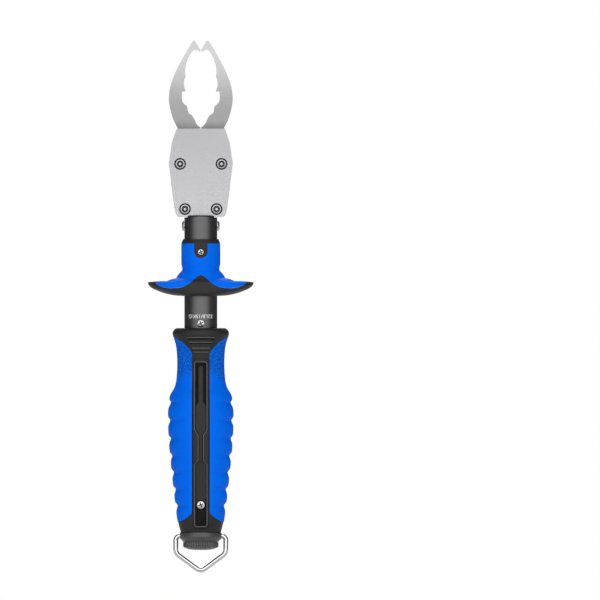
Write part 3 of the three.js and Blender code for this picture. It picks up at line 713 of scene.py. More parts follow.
class LIPGRIP_OT_stage(Build, bpy.types.Operator):
    """Adds the camera, the pale floor and the soft lights"""
    bl_idname = "lip_grip.stage"
    bl_label = "Stage"

    def build(self, scene):
        sizes = scene.lip_grip_stage
        lens = bpy.data.cameras.new("camera")
        lens.type = "ORTHO"
        lens.ortho_scale = sizes.view_width
        lens.clip_end = 20
        camera = bpy.data.objects.new("camera", lens)
        camera.location = (sizes.aside, -2.0, sizes.height)
        camera.rotation_euler = (math.pi / 2, 0, 0)
        scene.collection.objects.link(camera)
        scene.camera = camera
        scene.view_settings.view_transform = "Standard"
        self.floor()
        self.world(scene, sizes)
        self.light(scene, "back", Vector((0, 1.3, 1.5)), 1.2, 14.0 * sizes.brightness)

    def light(self, scene, name, place, size, power):
        """A square soft light aimed at the middle of the object."""
        lamp = bpy.data.lights.new(name, "AREA")
        lamp.size = size
        lamp.energy = power
        made = bpy.data.objects.new(name, lamp)
        made.location = place
        aim = Vector((0, 0, 0.12)) - place
        made.rotation_euler = aim.to_track_quat("-Z", "Y").to_euler()
        scene.collection.objects.link(made)

    def floor(self):
        bm = bmesh.new()
        bmesh.ops.create_grid(bm, x_segments=1, y_segments=1, size=1.6)
        bmesh.ops.translate(bm, verts=bm.verts, vec=(0, 0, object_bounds()[0][2] - 0.02))
        made = object_of(bm, "floor")
        paint = Finish("floor_paint")
        made.data.materials.append(paint.surface(base_color=(0.9, 0.9, 0.9, 1.0), roughness=0.9))
        made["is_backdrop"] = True

    def world(self, scene, sizes):
        """White round the object; a wide soft light in front and a faint one all round."""
        world = bpy.data.worlds.new("world")
        world.use_nodes = True
        made = Nodes(world.node_tree)
        direction = made.node("ShaderNodeTexCoord", {}, {}, output="Generated")
        depth = made.node("ShaderNodeSeparateXYZ", {}, {0: direction}, output="Y")
        dome = made.between(0 - depth, math.cos(sizes.dome_edge), math.cos(sizes.dome_core))
        lit = (dome + sizes.ambient) * sizes.brightness
        seen = made.node("ShaderNodeLightPath", {}, {}, output="Is Camera Ray")
        strength = seen + (1 - seen) * lit
        back = made.node("ShaderNodeBackground", {}, {"Color": (1, 1, 1, 1), "Strength": strength})
        made.node("ShaderNodeOutputWorld", {}, {"Surface": back})
        scene.world = world


class LIPGRIP_OT_plates(Build, bpy.types.Operator):
    """Adds the front and back head plates with their counterbored holes"""
    bl_idname = "lip_grip.plates"
    bl_label = "Head plates"

    def build(self, scene):
        sizes = scene.lip_grip_head
        tongue = cad("front_plate")[0].z
        side = [(3.6, tongue), (3.6, 166.6), *arc(10.6, 168.5, 1.9, -90, -12),
                (13.15, 170.9), (13.9, 176.1), (14.85, 184.2), *arc(9.9, 193.2, 6.05, -14, 16, 6),
                (14.4, 203.9), (12.2, 210.2), *arc(11.5, 210.25, 0.5, 5, 90, 4)]
        outline = [*side, *mirrored(side)]
        hole = 2.25
        holes = [(s * at.x, at.z) for s in (-1, 1) for at in (PIVOT, POST)]
        for name, face in FACES:
            span = sorted((face * PLATE_INNER, face * PLATE_FRONT))
            tools = []
            for x, z in holes:
                tools.append(rod(hole, (x, face, z), (x, face * 6, z)))
                tools.append(rod(sizes.seat / MM, (x, face * SCREW_SEAT, z), (x, face * 6, z), 64))
            plate = soften(carve(slab(outline, *span), *tools), sizes.edge / MM * 0.8)
            piece(f"{name}_plate_fine", plate, "plate_steel", "scale_tube", replaces=(f"{name}_plate",))


class LIPGRIP_OT_head_screws(Build, bpy.types.Operator):
    """Adds the socket screws and barrels that hold the plates and the jaws"""
    bl_idname = "lip_grip.head_screws"
    bl_label = "Head screws"

    def build(self, scene):
        sizes = scene.lip_grip_head
        head_r, hex_r = sizes.screw / MM, sizes.socket / MM
        proud = cad("back_plate")[1].y + 0.35
        for name, s in SIDES:
            for barrel, screw, at in (("pivot_barrel", "pivot_screw", PIVOT),
                                      ("spacer_barrel", "plate_screw", POST)):
                x, z = s * at.x, at.z
                front = self.head(head_r, hex_r, proud)
                shank = rod(1.0, (0, 0, 0.0), (0, 0, 3.6), 32)
                self.stand(unite(front, shank), x, z, -1, f"{screw}_{name}")
                back = self.head(head_r, hex_r, proud)
                barrel_body = carve(rod(2.0, (0, 0, -3.05), (0, 0, 3.6), 64),
                                    rod(1.25, (0, 0, -4), (0, 0, -0.5), 32))
                self.stand(unite(back, barrel_body), x, z, 1, f"{barrel}_{name}")
                for side, face in FACES:
                    # Painted shadow: a near-black ring on each counterbore's floor round the screw, and one on
                    # each hex socket's floor round its middle.
                    seat_shadow = self.ring(x, z, (face * (SCREW_SEAT + 0.02), face * (SCREW_SEAT + 0.3)),
                                       (sizes.seat / MM - 0.03, 64), (2.1, 48))
                    socket_shadow = self.ring(x, z, (face * (proud - 0.88), face * (proud - 0.6)),
                                       (hex_r - 0.12, 32), (hex_r * 0.5, 32))
                    piece(f"{screw}_{name}_{side}_washer", merged([soften(seat_shadow, 0.08, 2), socket_shadow]),
                          "black_painted_shadow", "scale_tube")

    def ring(self, x, z, span, outer, inner):
        """A flat ring across Y; outer and inner are a radius and a number of sides."""
        low, high = sorted(span)
        return carve(rod(outer[0], (x, low, z), (x, high, z), outer[1]),
                     rod(inner[0], (x, -6, z), (x, 6, z), inner[1]))

    def head(self, radius, hex_r, top):
        """A head about Z: rounded shoulder, hex socket with a flared mouth and a drilled floor."""
        base, shoulder = 3.4, 0.45
        profile = [(0, base), (radius - 0.1, base), (radius, base + 0.1), (radius, top - shoulder),
                   *arc(radius - shoulder, top - shoulder, shoulder, 0, 90, 5), (0, top)]
        mouth = spun([(0, top - 0.6), (hex_r - 0.1, top - 0.6), (hex_r + 0.35, top + 0.02),
                      (0, top + 0.02)], 48)
        socket = rod(hex_r, (0, 0, top - 0.9), (0, 0, top + 1), 6)
        pit = spun([(0, top - 1.5), (0.4, top - 1.45), (1.05, top - 0.85), (0, top - 0.85)], 48)
        return carve(spun(profile, 64), mouth, socket, pit)

    def stand(self, bm, x, z, face, name):
        turn = Matrix.Rotation(math.radians(90 if face < 0 else -90), 4, "X")
        bmesh.ops.transform(bm, matrix=Matrix.Translation((x, 0, z)) @ turn, verts=bm.verts)
        piece(name + "_fine", bm, "screw_steel", "scale_tube", replaces=(name,))


class LIPGRIP_OT_jaws(Build, bpy.types.Operator):
    """Adds the two toothed jaws and the pins in their tails"""
    bl_idname = "lip_grip.jaws"
    bl_label = "Jaws"

    MEETING = 0.25

    def outline(self):
        """The right jaw: outer edge down from the tip, heel and tail, then the mouth back up."""
        outer = smooth_line([(3.5, 254.9), (5.2, 252.7), (7.8, 248), (10.4, 243.5), (12.3, 239.7),
                             (13.9, 235.8), (15.1, 232.2), (15.85, 228), (15.9, 223.9), (15.0, 219.4),
                             (13.7, 215.2), (11.6, 211)])
        heel = arc(PIVOT.x, PIVOT.z, 3.6, 20, -120, 16)
        tail = arc(TAIL_PIN.x, TAIL_PIN.z, 2.3, -52, -200, 14)
        throat = smooth_line([(self.MEETING, 211.6), (1.0, 211.8), (2.3, 213.3), (3.2, 215.4), (4.5, 217.3),
                              (6.0, 218.3)])
        step = smooth_line([(6.0, 218.3), (6.5, 219.5), (6.9, 221.8), (8.3, 223.0), (9.3, 224.5)])
        pocket = [(9.45, 226.0), (9.45, 227.6), (9.3, 229.15), (7.5, 229.3)]
        tooth = smooth_line([(7.5, 229.3), (8.2, 231.4), (8.42, 233.4), (8.1, 235.3), (7.55, 236.5)])
        notch = [(7.6, 237.2)]
        arch = smooth_line([(7.85, 238.6), (7.55, 242), (6.6, 245.2), (5.25, 247.9), (4.05, 249.5),
                            (2.75, 250.05), (1.4, 249.6), (self.MEETING, 248.9)])
        return [*outer, (12.6, 205), (13.9, 197.4), *heel, *tail, (4.3, 192), (self.MEETING, 200.5),
                *throat, *step[1:], *pocket, *tooth[1:], *notch, *arch, (self.MEETING, 250.3), (2.75, 254.3)]

    def build(self, scene):
        thin = cad("cam_plate")[1].y + 0.35
        width = scene.lip_grip_head.edge / MM
        for name, s in SIDES:
            points = [(s * x, z) for x, z in self.outline()]
            low, high = sorted((-s, s * 8.25))
            low_all, high_all = sorted((-s, s * 20))
            jaw = carve(
                slab(points, -JAW_HALF, JAW_HALF),
                brick((low, -3, 180), (high, thin, 200.3)),
                brick((low_all, -4, 180), (high_all, thin, 190)),
                rod(PIVOT_HOLE, (s * PIVOT.x, -5, PIVOT.z), (s * PIVOT.x, 5, PIVOT.z), 64),
                rod(1.25, (s * TAIL_PIN.x, -5, TAIL_PIN.z), (s * TAIL_PIN.x, 5, TAIL_PIN.z), 48),
            )
            piece(f"jaw_{name}_fine", soften(jaw, width, 3, 50), "jaw_steel", f"{name}_jaw",
                  replaces=(f"jaw_{name}",))
            pin = rod(1.0, (s * TAIL_PIN.x, -JAW_HALF, TAIL_PIN.z), (s * TAIL_PIN.x, 1.6, TAIL_PIN.z), 48)
            piece(f"jaw_pin_{name}_fine", soften(pin, 0.15), "screw_steel", f"{name}_jaw",
                  replaces=(f"jaw_pin_{name}",))


class LIPGRIP_OT_tube(Build, bpy.types.Operator):
    """Adds the slotted scale tube"""
    bl_idname = "lip_grip.tube"
    bl_label = "Scale tube"

    def build(self, scene):
        lip, lip_height = 1.3, 1.5
        profile = [(TUBE_BORE, TUBE_BOTTOM), (TUBE_R - 0.3, TUBE_BOTTOM), (TUBE_R, TUBE_BOTTOM + 0.3),
                   (TUBE_R, 60), (TUBE_R, 110), (TUBE_R, 140),
                   *[(TUBE_R - lip + x * lip, TUBE_TOP - lip_height + z * lip_height)
                     for x, z in arc(0, 0, 1, 0, 90, 10)],
                   (TUBE_BORE + 0.15, TUBE_TOP), (TUBE_BORE, TUBE_TOP - 0.15)]
        slot = slab(rounded_box(2.0, TRIGGER_SCREW_Z - 11, TRIGGER_SCREW_Z + 2, 1.99, 12), -10, -4)
        notch = brick((-10, -PLATE_FRONT - 0.25, 166.3), (10, PLATE_FRONT + 0.25, TUBE_TOP + 1))
        holes = [rod(1.3, (0, -10, TUBE_SCREW_Z), (0, -4, TUBE_SCREW_Z), 32)]
        holes += [rod(1.5, (s * 5, 0, SIDE_SCREW_Z), (s * 10, 0, SIDE_SCREW_Z), 32) for s in (-1, 1)]
        tube = carve(spun(profile, 128), slot, notch, *holes)
        piece("scale_tube_fine", tube, "black_anodised", "scale_tube", replaces=("scale_tube",))


class LIPGRIP_OT_scale_marks(Build, bpy.types.Operator):
    """Prints the capacity, the graduations and the numerals on the tube"""
    bl_idname = "lip_grip.scale_marks"
    bl_label = "Scale marks"

    ZERO = 109.8
    POUND = 0.45359

    def build(self, scene):
        sizes = scene.lip_grip_scale
        kilo = sizes.kilogram / MM
        pound = kilo * self.POUND
        numeral = sizes.numeral / MM
        words = [("32LB/15KG", 0.0, 116.9, 1.87), ("KG", -5.0, self.ZERO, numeral),
                 ("LB", 5.1, self.ZERO, numeral)]
        words += [(str(n), -4.3, self.ZERO - n * kilo + (0.35 if n == 14 else 0), numeral)
                  for n in (2, 4, 6, 8, 10, 12, 14)]
        words += [("15", -4.3, self.ZERO - 15 * kilo - 0.25, numeral)]
        words += [(str(n), 4.6, self.ZERO - n * pound, numeral) for n in range(4, 36, 4)]
        lettering = merged([self.word(*word) for word in words])
        piece("scale_numerals", self.wrapped(lettering, sizes.ink / MM), "scale_ink", "scale_tube")
        ticks = [(-2.2, 2.2, self.ZERO)]
        ticks += [(0.0, 2.7 if n % 4 == 0 else (1.9 if n % 2 == 0 else 1.2), self.ZERO - n * pound)
                  for n in range(1, 33)]
        ticks += [(-(2.7 if n % 5 == 0 else 1.7), 0.0, self.ZERO - n * kilo) for n in range(1, 16)]
        ticks += [(-1.0, 0.0, self.ZERO - (n + 0.5) * kilo) for n in range(15)]
        bars = merged([self.tick(*tick) for tick in ticks])
        piece("scale_ticks", self.wrapped(bars, sizes.ink / MM), "scale_ink", "scale_tube")

    def word(self, text, x, z, height):
        """A word upside down in the X-Z plane, centred on (x, z)."""
        curve = bpy.data.curves.new("word", "FONT")
        curve.body = text
        curve.size = height * 1.38
        curve.align_x = "CENTER"
        curve.align_y = "CENTER"
        curve.resolution_u = 3
        curve.offset = 0.02 * height
        writer = bpy.data.objects.new("word", curve)
        bpy.context.scene.collection.objects.link(writer)
        graph = bpy.context.evaluated_depsgraph_get()
        mesh = bpy.data.meshes.new_from_object(writer.evaluated_get(graph))
        bm = bmesh.new()
        bm.from_mesh(mesh)
        bpy.data.objects.remove(writer)
        bpy.data.curves.remove(curve)
        bpy.data.meshes.remove(mesh)
        turn = Matrix.Rotation(math.pi / 2, 4, "X") @ Matrix.Rotation(math.pi, 4, "Z")
        bmesh.ops.transform(bm, matrix=Matrix.Translation((x, 0, z)) @ turn, verts=bm.verts)
        return bm

    def tick(self, x0, x1, z, thickness=0.24):
        bm = bmesh.new()
        bmesh.ops.create_grid(bm, x_segments=6, y_segments=1, size=0.5)
        bmesh.ops.scale(bm, verts=bm.verts, vec=(x1 - x0, thickness, 1))
        bmesh.ops.rotate(bm, verts=bm.verts, matrix=Matrix.Rotation(math.pi / 2, 3, "X"))
        bmesh.ops.translate(bm, verts=bm.verts, vec=((x0 + x1) / 2, 0, z))
        return bm

    def wrapped(self, bm, ink):
        """Bends flat marks round the tube's front and gives them the ink's thickness."""
        for step in range(-14, 15):
            sliced(bm, (step * 0.5, 0, 0), (1, 0, 0))
        bmesh.ops.remove_doubles(bm, verts=bm.verts, dist=1e-3)
        flat = list(bm.faces)
        grown = bmesh.ops.extrude_face_region(bm, geom=flat, use_keep_orig=True)["geom"]
        top = {item for item in grown if isinstance(item, bmesh.types.BMVert)}
        for vert in bm.verts:
            radius = TUBE_R + (ink if vert in top else -0.02)
            vert.co.y = -math.sqrt(radius ** 2 - vert.co.x ** 2)
        bmesh.ops.recalc_face_normals(bm, faces=bm.faces)
        return bm


class LIPGRIP_OT_cross_screws(Build, bpy.types.Operator):
    """Adds the bright cross-head screws and the domed side screws"""
    bl_idname = "lip_grip.cross_screws"
    bl_label = "Cross-head and side screws"

    def build(self, scene):
        for name, z, radius, body, shank_end, shank_r in (
                ("handle_screw", HANDLE_SCREW_Z, 2.05, "handle", 5.2, 1.2),
                ("tube_screw", TUBE_SCREW_Z, 1.95, "scale_tube", 3.4, 0.95),
                ("trigger_screw", TRIGGER_SCREW_Z, 1.65, "trigger", 3.8, 1.2)):
            top = -cad(name)[0].y
            turn = Matrix.Translation((0, 0, z)) @ Matrix.Rotation(math.pi / 2, 4, "X")
            screw = self.head(radius, top, shank_r, shank_end)
            bmesh.ops.transform(screw, matrix=turn, verts=screw.verts)
            piece(name + "_fine", screw, "chrome", body, replaces=(name,))
            # Painted shadow: a near-black cross laid in each cross recess.
            cross_shadow = unite(*[self.arm(radius * 0.6, 0.26, top - 0.8, top - 0.38, angle) for angle in self.ARMS])
            bmesh.ops.transform(cross_shadow, matrix=turn, verts=cross_shadow.verts)
            piece(name + "_recess", cross_shadow, "black_painted_shadow", body)
        for name, s in SIDES:
            dome = self.side_dome()
            turn = Matrix.Rotation(s * math.pi / 2, 4, "Y")
            bmesh.ops.transform(dome, matrix=Matrix.Translation((0, 0, SIDE_SCREW_Z)) @ turn, verts=dome.verts)
            piece(f"side_screw_{name}_fine", dome, "screw_steel", "scale_tube",
                  replaces=(f"side_screw_{name}",))

    def head(self, radius, top, shank_r, shank_end):
        """A domed head about Z with a cross recess, standing on its shank."""
        base = top - 0.75
        crown = smooth_line([(radius, base + 0.12), (radius * 0.93, base + 0.36), (radius * 0.7, top - 0.15),
                             (radius * 0.35, top - 0.02), (0.0, top)], 5)
        profile = [(0, shank_end), (shank_r, shank_end), (shank_r, base), (radius, base), *crown]
        arms = [self.arm(radius * 0.66, 0.32, top - 0.65, top + 1, angle) for angle in self.ARMS]
        return soften(carve(spun(profile, 64), *arms), 0.05, 2, 40)

    ARMS = (math.radians(20), math.radians(110))

    def arm(self, reach, half, low, high, angle):
        """One bar of the cross, about Z."""
        bar = brick((-reach, -half, low), (reach, half, high))
        bmesh.ops.rotate(bar, verts=bar.verts, matrix=Matrix.Rotation(angle, 3, "Z"))
        return bar

    def side_dome(self):
        crown = smooth_line([(2.5, 8.35), (2.4, 8.75), (1.95, 9.15), (1.3, 9.38)], 4)
        profile = [(0, 4.3), (1.1, 4.3), (1.1, 8.3), (2.5, 8.3), *crown[1:], (0, 9.4)]
        return carve(spun(profile, 64), rod(1.15, (0, 0, 8.7), (0, 0, 10), 6))


class LIPGRIP_OT_trigger(Build, bpy.types.Operator):
    """Adds the black trigger body with its finger wings and the blue pad on it"""
    bl_idname = "lip_grip.trigger"
    bl_label = "Trigger"

    COLUMNS = 200
    SLEEVE = 9.75
    BORE = 8.3
    PAD_INNER = 9.0
    PAD_TOP = 153.25
    TAB_HALF, TAB_BOTTOM = 3.4, 146.0
    SEAM = smooth_line([(0, 137.45), (1.6, 136.75), (4, 134.7), (6.3, 132.85), (9, 131.6), (12.9, 130.9),
                        (16.8, 130.95), (20.6, 132.1), (22.6, 133.7), (23.6, 135.2)], 5)
    FRONT_TOP = [(9.6, 139.6), (10.9, 137.5), (12.3, 135.6), (14.6, 134.3), (17.2, 133.7), (20, 133.7),
                 (22.6, 134.0), (24.6, 134.15), (26.1, 133.95)]
    SIDE_TOP = [(9.5, 139.6), (10.1, 139.15), (11.75, 137.2), (12.25, 136.0), (13.35, 135.9), (15.8, 135.1),
                (16.3, 135.0), (17, 134.1), (18.9, 134.0), (19.85, 134.5), (22.7, 134.35), (26.1, 133.95)]

    def profile(self):
        """The closed section through a wing, without the grip steps on it."""
        under = smooth_line([(self.BORE, TRIGGER_BOTTOM), (13.15, 127.3), (17.9, 128.3), (20.8, 129.3),
                             (24.05, 130.7), (25.8, 132.1), (WING_X - 0.05, 133.4)], 8)
        top = smooth_line([(WING_X - 0.05, 133.4), *reversed(self.FRONT_TOP), (9.25, 140.5), (9.45, 141.7),
                           (self.SLEEVE, 143)], 8)
        sleeve = [(self.SLEEVE, 144 + step) for step in range(10)]
        collar = smooth_line([(self.SLEEVE, 153.3), (9.35, 154.3), (9.0, 155.0), (8.9, TRIGGER_TOP)], 4)
        return [*under, *top[1:], *sleeve, *collar, (self.BORE, TRIGGER_TOP), (self.BORE, 140)]

    def body(self):
        """The turned section, its wings spread into an oval and stepped where the fingers pull."""
        bm = spun(self.profile(), self.COLUMNS)
        span = WING_X - self.SLEEVE
        for vert in bm.verts:
            x, y, z = vert.co
            r = math.hypot(x, y)
            if r > self.SLEEVE:
                c, s = x / r, y / r
                rim = WING_X * WING_Y / math.hypot(WING_Y * c, WING_X * s)
                ratio = (rim - self.SLEEVE) / span
                share = min(1.0, (r - self.SLEEVE) / span)
                out = self.SLEEVE + span * ratio * (1 - (1 - share) ** (1 / ratio))
                if z > 133.5:
                    z += eased((abs(c) - 0.5) / 0.4) * (reading(self.SIDE_TOP, r) - reading(self.FRONT_TOP, r))
                vert.co = (c * out, s * out, z)
        return bm

    def pad_region(self, gap):
        """The space of the blue pad: over the seam, outside the inner sleeve and round the screw tab."""
        seam = [(x, z + gap) for x, z in self.SEAM]
        outline = [*mirrored(seam), *seam[1:], (40, 136), (40, self.PAD_TOP - gap),
                   (-40, self.PAD_TOP - gap), (-40, 136)]
        inner = self.PAD_INNER + gap
        half = self.TAB_HALF + gap
        tab = rounded_box(half, self.TAB_BOTTOM - gap, 170, half - 0.01, 16)
        return carve(slab(outline, -30, 30), rod(inner, (0, 0, 120), (0, 0, 160), 96), slab(tab, -30, 0))

    def build(self, scene):
        hole = rod(1.5, (0, -12, TRIGGER_SCREW_Z), (0, -5, TRIGGER_SCREW_Z), 48)
        recess = rod(1.95, (0, -12, TRIGGER_SCREW_Z), (0, -9.05, TRIGGER_SCREW_Z), 64)
        core = carve(self.body(), self.pad_region(0.0), hole, recess)
        piece("trigger_core_fine", core, "black_plastic", "trigger", replaces=("trigger_core",), crease=40)
        pad = combined(self.body(), [self.pad_region(0.02)], "INTERSECT")
        piece("trigger_pad_fine", pad, "blue_rubber_smooth", "trigger",
              replaces=("trigger_pad",), crease=40)


class LIPGRIP_OT_handle_body(Build, bpy.types.Operator):
    """Adds the handle's black body with its bulged mouth and the stepped panels under it"""
    bl_idname = "lip_grip.handle_body"
    bl_label = "Handle body"

    def build(self, scene):
        depth = scene.lip_grip_handle.depth
        spigot, floor = cad("handle_core")[0].z, 8.3
        mouth, bush = 105.05, 9.7
        side = [(half, z) for z, half in BODY_CURVE]
        bulge = smooth_line([(13.75, 106.5), (14.05, 107.6), (14.1, 108.4), (13.9, 109.2), (13.35, 110.1),
                             (12.6, 110.75), (11.9, HANDLE_TOP)], 4)
        foot = [(0, floor), (9.85, floor), (9.98, 8.45), (10.0, 8.85)]
        outside = spun([*foot, *side, *bulge[1:], (0, HANDLE_TOP)], 160, depth)
        self.sink_under_pads(outside, depth)
        bore = spun([(0, 18), (TUBE_R + 0.2, 18), (TUBE_R + 0.2, mouth), (bush, mouth), (bush, 112),
                     (0, 112)], 128)
        hub_way = rod(8.45, (0, 0, 7), (0, 0, 10.15), 128)
        seat = rod(2.3, (0, -20, HANDLE_SCREW_Z), (0, -9.6, HANDLE_SCREW_Z), 64)
        screw_way = rod(1.6, (0, -20, HANDLE_SCREW_Z), (0, -5, HANDLE_SCREW_Z), 32)
        body = carve(outside, bore, hub_way, seat, screw_way, self.sunk_fields(depth))
        stem = spun([(3.2, spigot), (5.5, spigot), (5.5, 10.5), (3.2, 10.5)], 96)
        piece("handle_spigot", stem, "black_plastic", "handle")
        piece("handle_body_fine", body, "black_plastic", "handle", replaces=("handle_core",))
        for name, face in FACES:
            piece(f"{name}_stepped_panel", self.panel(face), "black_plastic", "handle")
            piece(f"{name}_panel_ridges", self.ridges(face), "black_plastic_highlight", "handle")
            # Painted shadow: near-black strips laid in the sunk lines between the bands.
            lines = [slab(self.band(low, high, half), -1.1, -0.75) for low, high, half in self.SUNK]
            piece(f"{name}_panel_line_shadows", draped(merged(lines), face, 0.5), "black_painted_shadow", "handle")

    def sunk_fields(self, depth):
        """The bed of the trim strip and the sunk lines above it, front and back, all equally deep."""
        fields = [slab(rounded_box(4.12, 10.55, 95.7, 1.95), -20, 20)]
        fields += [slab(self.band(low, high, half), -20, 20) for low, high, half in self.SUNK]
        under = [(max(0.0, half - 1.15), z) for z, half in BODY_CURVE]
        return carve(merged(fields), spun([(0, 10.15), *under, (12.8, 108), (0, 108)], 160, depth))

    def sink_under_pads(self, bm, depth):
        """Draws the body in where the pads lie, so that their valleys stay clear of it."""
        for vert in bm.verts:
            x, y, z = vert.co
            if BORDER[0][0] < z < 106:
                half = math.hypot(x, y / depth)
                keep = 1 - 1.3 * eased((abs(x) - pad_border(z) - 0.35) / 1.3) / half
                vert.co = (x * keep, y * keep, z)

    SUNK = ((105.35, 105.85, 6.95), (103.05, 103.5, 5.75), (99.2, 99.55, 4.1))
    STEPS = ((105.95, 106.6, 7.2, 0.35), (103.95, 105.25, 6.6, 0.25), (99.6, 100.8, 4.5, 0.3),
             (98.1, 98.9, 3.95, 0.12))
    RIDGES = ((106.25, 7.15), (103.8, 5.95), (100.95, 4.6), (99.0, 4.0))

    def panel(self, face):
        """Raised bands that get narrower downwards, two above a sunk field and two below it."""
        bands = [soften(slab(self.band(low, high, half), -0.6, up), 0.1, 2)
                 for low, high, half, up in self.STEPS]
        return draped(merged(bands), face, 0.5)

    def ridges(self, face):
        """The thin raised lines along the bands, in a lighter black as a painted highlight."""
        lines = [soften(slab(self.band(z - 0.16, z + 0.16, half), -0.5, 0.5), 0.08, 2)
                 for z, half in self.RIDGES]
        return draped(merged(lines), face, 0.5)

    def band(self, low, high, half):
        lean = (high - low) * 0.55
        return [(-half + lean, low), (half - lean, low), (half, high), (-half, high)]


def merged(parts):
    """Several bodies in one mesh, left apart."""
    whole = bmesh.new()
    for part in parts:
        mesh = bpy.data.meshes.new("part")
        part.to_mesh(mesh)
        part.free()
        whole.from_mesh(mesh)
        bpy.data.meshes.remove(mesh)
    return whole


def sliced(bm, place, across):
    """Cuts every face that a plane crosses."""
    everything = [*bm.verts, *bm.edges, *bm.faces]
    bmesh.ops.bisect_plane(bm, geom=everything, plane_co=place, plane_no=across)


def draped(bm, face, spacing):
    """Lays a flat piece, drawn in X and Z with its height along Y, on the handle's black body."""
    heights = [vert.co.z for vert in bm.verts]
    z = math.floor(min(heights)) + spacing
    while z < max(heights):
        sliced(bm, (0, 0, z), (0, 0, 1))
        z += spacing
    for x in range(-6, 7):
        sliced(bm, (x, 0, 0), (1, 0, 0))
    for vert in bm.verts:
        vert.co.y = face * (body_surface(vert.co.x, vert.co.z) + vert.co.y)
    bmesh.ops.recalc_face_normals(bm, faces=bm.faces)
    return bm


class LIPGRIP_OT_pads(Build, bpy.types.Operator):
    """Adds the blue scalloped pads on both sides of the handle"""
    bl_idname = "lip_grip.pads"
    bl_label = "Handle pads"

    COLUMNS = 72
    ROWS = 300
    LOW, HIGH = 13.75, 106.1
    EDGE = 0.7

    def place(self, s, column, row):
        depth = bpy.context.scene.lip_grip_handle.depth
        z = self.LOW + (self.HIGH - self.LOW) * row / self.ROWS
        base = reading(PAD_CURVE, z)
        edge = min(pad_border(z), base - 0.02)
        reach = math.acos(edge / base)
        share = 2 * column / self.COLUMNS - 1
        angle = reach * share
        side = max(0.0, math.cos(angle))
        half = base - scallop(z) * min(1.0, max(0.0, (side - 0.45) / 0.45))
        from_edge = (1 - abs(share)) * reach * half
        from_end = min(z - self.LOW, self.HIGH - z) + 0.01
        near = min(from_edge, from_end * 1.5, self.EDGE)
        drop = self.EDGE - math.sqrt(max(0.0, self.EDGE ** 2 - (self.EDGE - near) ** 2))
        half -= drop * 0.75
        return Vector((s * half * math.cos(angle), depth * half * math.sin(angle), z))

    def build(self, scene):
        for name, s in SIDES:
            pad = skin(self.COLUMNS, self.ROWS, lambda column, row: self.place(s, column, row))
            if sum(face.normal.x * s for face in pad.faces) < 0:
                bmesh.ops.reverse_faces(pad, faces=pad.faces)
            bmesh.ops.solidify(pad, geom=pad.faces, thickness=0.9)
            bmesh.ops.recalc_face_normals(pad, faces=pad.faces)
            piece(f"grip_{name}_fine", pad, "blue_rubber", "handle", replaces=(f"grip_{name}",), crease=60)


class LIPGRIP_OT_trim(Build, bpy.types.Operator):
    """Adds the trim strips in the handle's channels"""
    bl_idname = "lip_grip.trim"
    bl_label = "Trim strips"

    def build(self, scene):
        for name, face in FACES:
            with_screw = name == "front"
            piece(f"{name}_trim_fine", draped(self.strip(with_screw), face, 1.5), "black_plastic", "handle",
                  replaces=(f"{name}_inlay",))
            piece(f"{name}_trim_rail", draped(self.rail(), face, 1.5), "black_plastic_highlight", "handle")
            # Painted shadow: a near-black sheet laid on the trough's floor round the field and low in the
            # trough.
            bed = carve(slab(self.trough(0.0), -0.8, -0.45), slab(self.field(HANDLE_SCREW_Z), -2, 2))
            trough_shadow = unite(bed, brick((-2.6, -0.9, 12.3), (2.6, -0.45, HANDLE_SCREW_Z - 1.8)))
            piece(f"{name}_trim_shadow", draped(trough_shadow, face, 1.5), "black_painted_shadow", "handle")

    def trough(self, grow):
        """Outline of the trough: wide, a narrow neck half-way up, and wide again to the top."""
        wide, neck = 2.95 + grow, 1.2 + grow
        low, high, corner = 11.85 - grow, 93.9 + grow, 1.0 + grow
        half = [*arc(wide - corner, low + corner, corner, -90, 0, 6), (wide, 42.5), (neck, 44.7), (neck, 57.4),
                (wide, 60.0), *arc(wide - corner, high - corner, corner, 0, 90, 6)]
        return [*half, *mirrored(half)]

    def field(self, low):
        """Outline of the raised field in the trough, with the bar that it carries at the top."""
        wide, neck, bar = 2.55, 0.78, 1.15
        half = [(wide, low), (wide, 42.3), (neck, 44.55), (neck, 57.55), (wide, 60.15), (wide, 71.9),
                (bar, 74.2), *arc(0.05, 91.0, bar - 0.05, 0, 90, 8)]
        return [*half, *mirrored(half)]

    def strip(self, with_screw):
        """Flat strip with the trough and its field; in front, also the screw's seat and a slot below it."""
        plate = soften(slab(rounded_box(3.95, 10.75, 95.5, 1.8), -1.1, 0.3), 0.12, 2)
        bed = slab(self.trough(0.0), -0.85, 2)
        field = soften(slab(self.field(HANDLE_SCREW_Z if with_screw else 12.3), -0.95, 0.28), 0.14, 2)
        parts = unite(carve(plate, bed), field)
        if not with_screw:
            return parts
        return carve(parts, rod(2.45, (0, -2, HANDLE_SCREW_Z), (0, 2, HANDLE_SCREW_Z), 64),
                     brick((-2.6, -0.95, 12.2), (2.6, 2, HANDLE_SCREW_Z - 1.5)))

    def rail(self):
        """The thin raised rim round the trough, in a lighter black as a painted highlight."""
        return soften(carve(slab(self.trough(0.28), -0.2, 0.5), slab(self.trough(-0.02), -1, 2)), 0.09, 2)


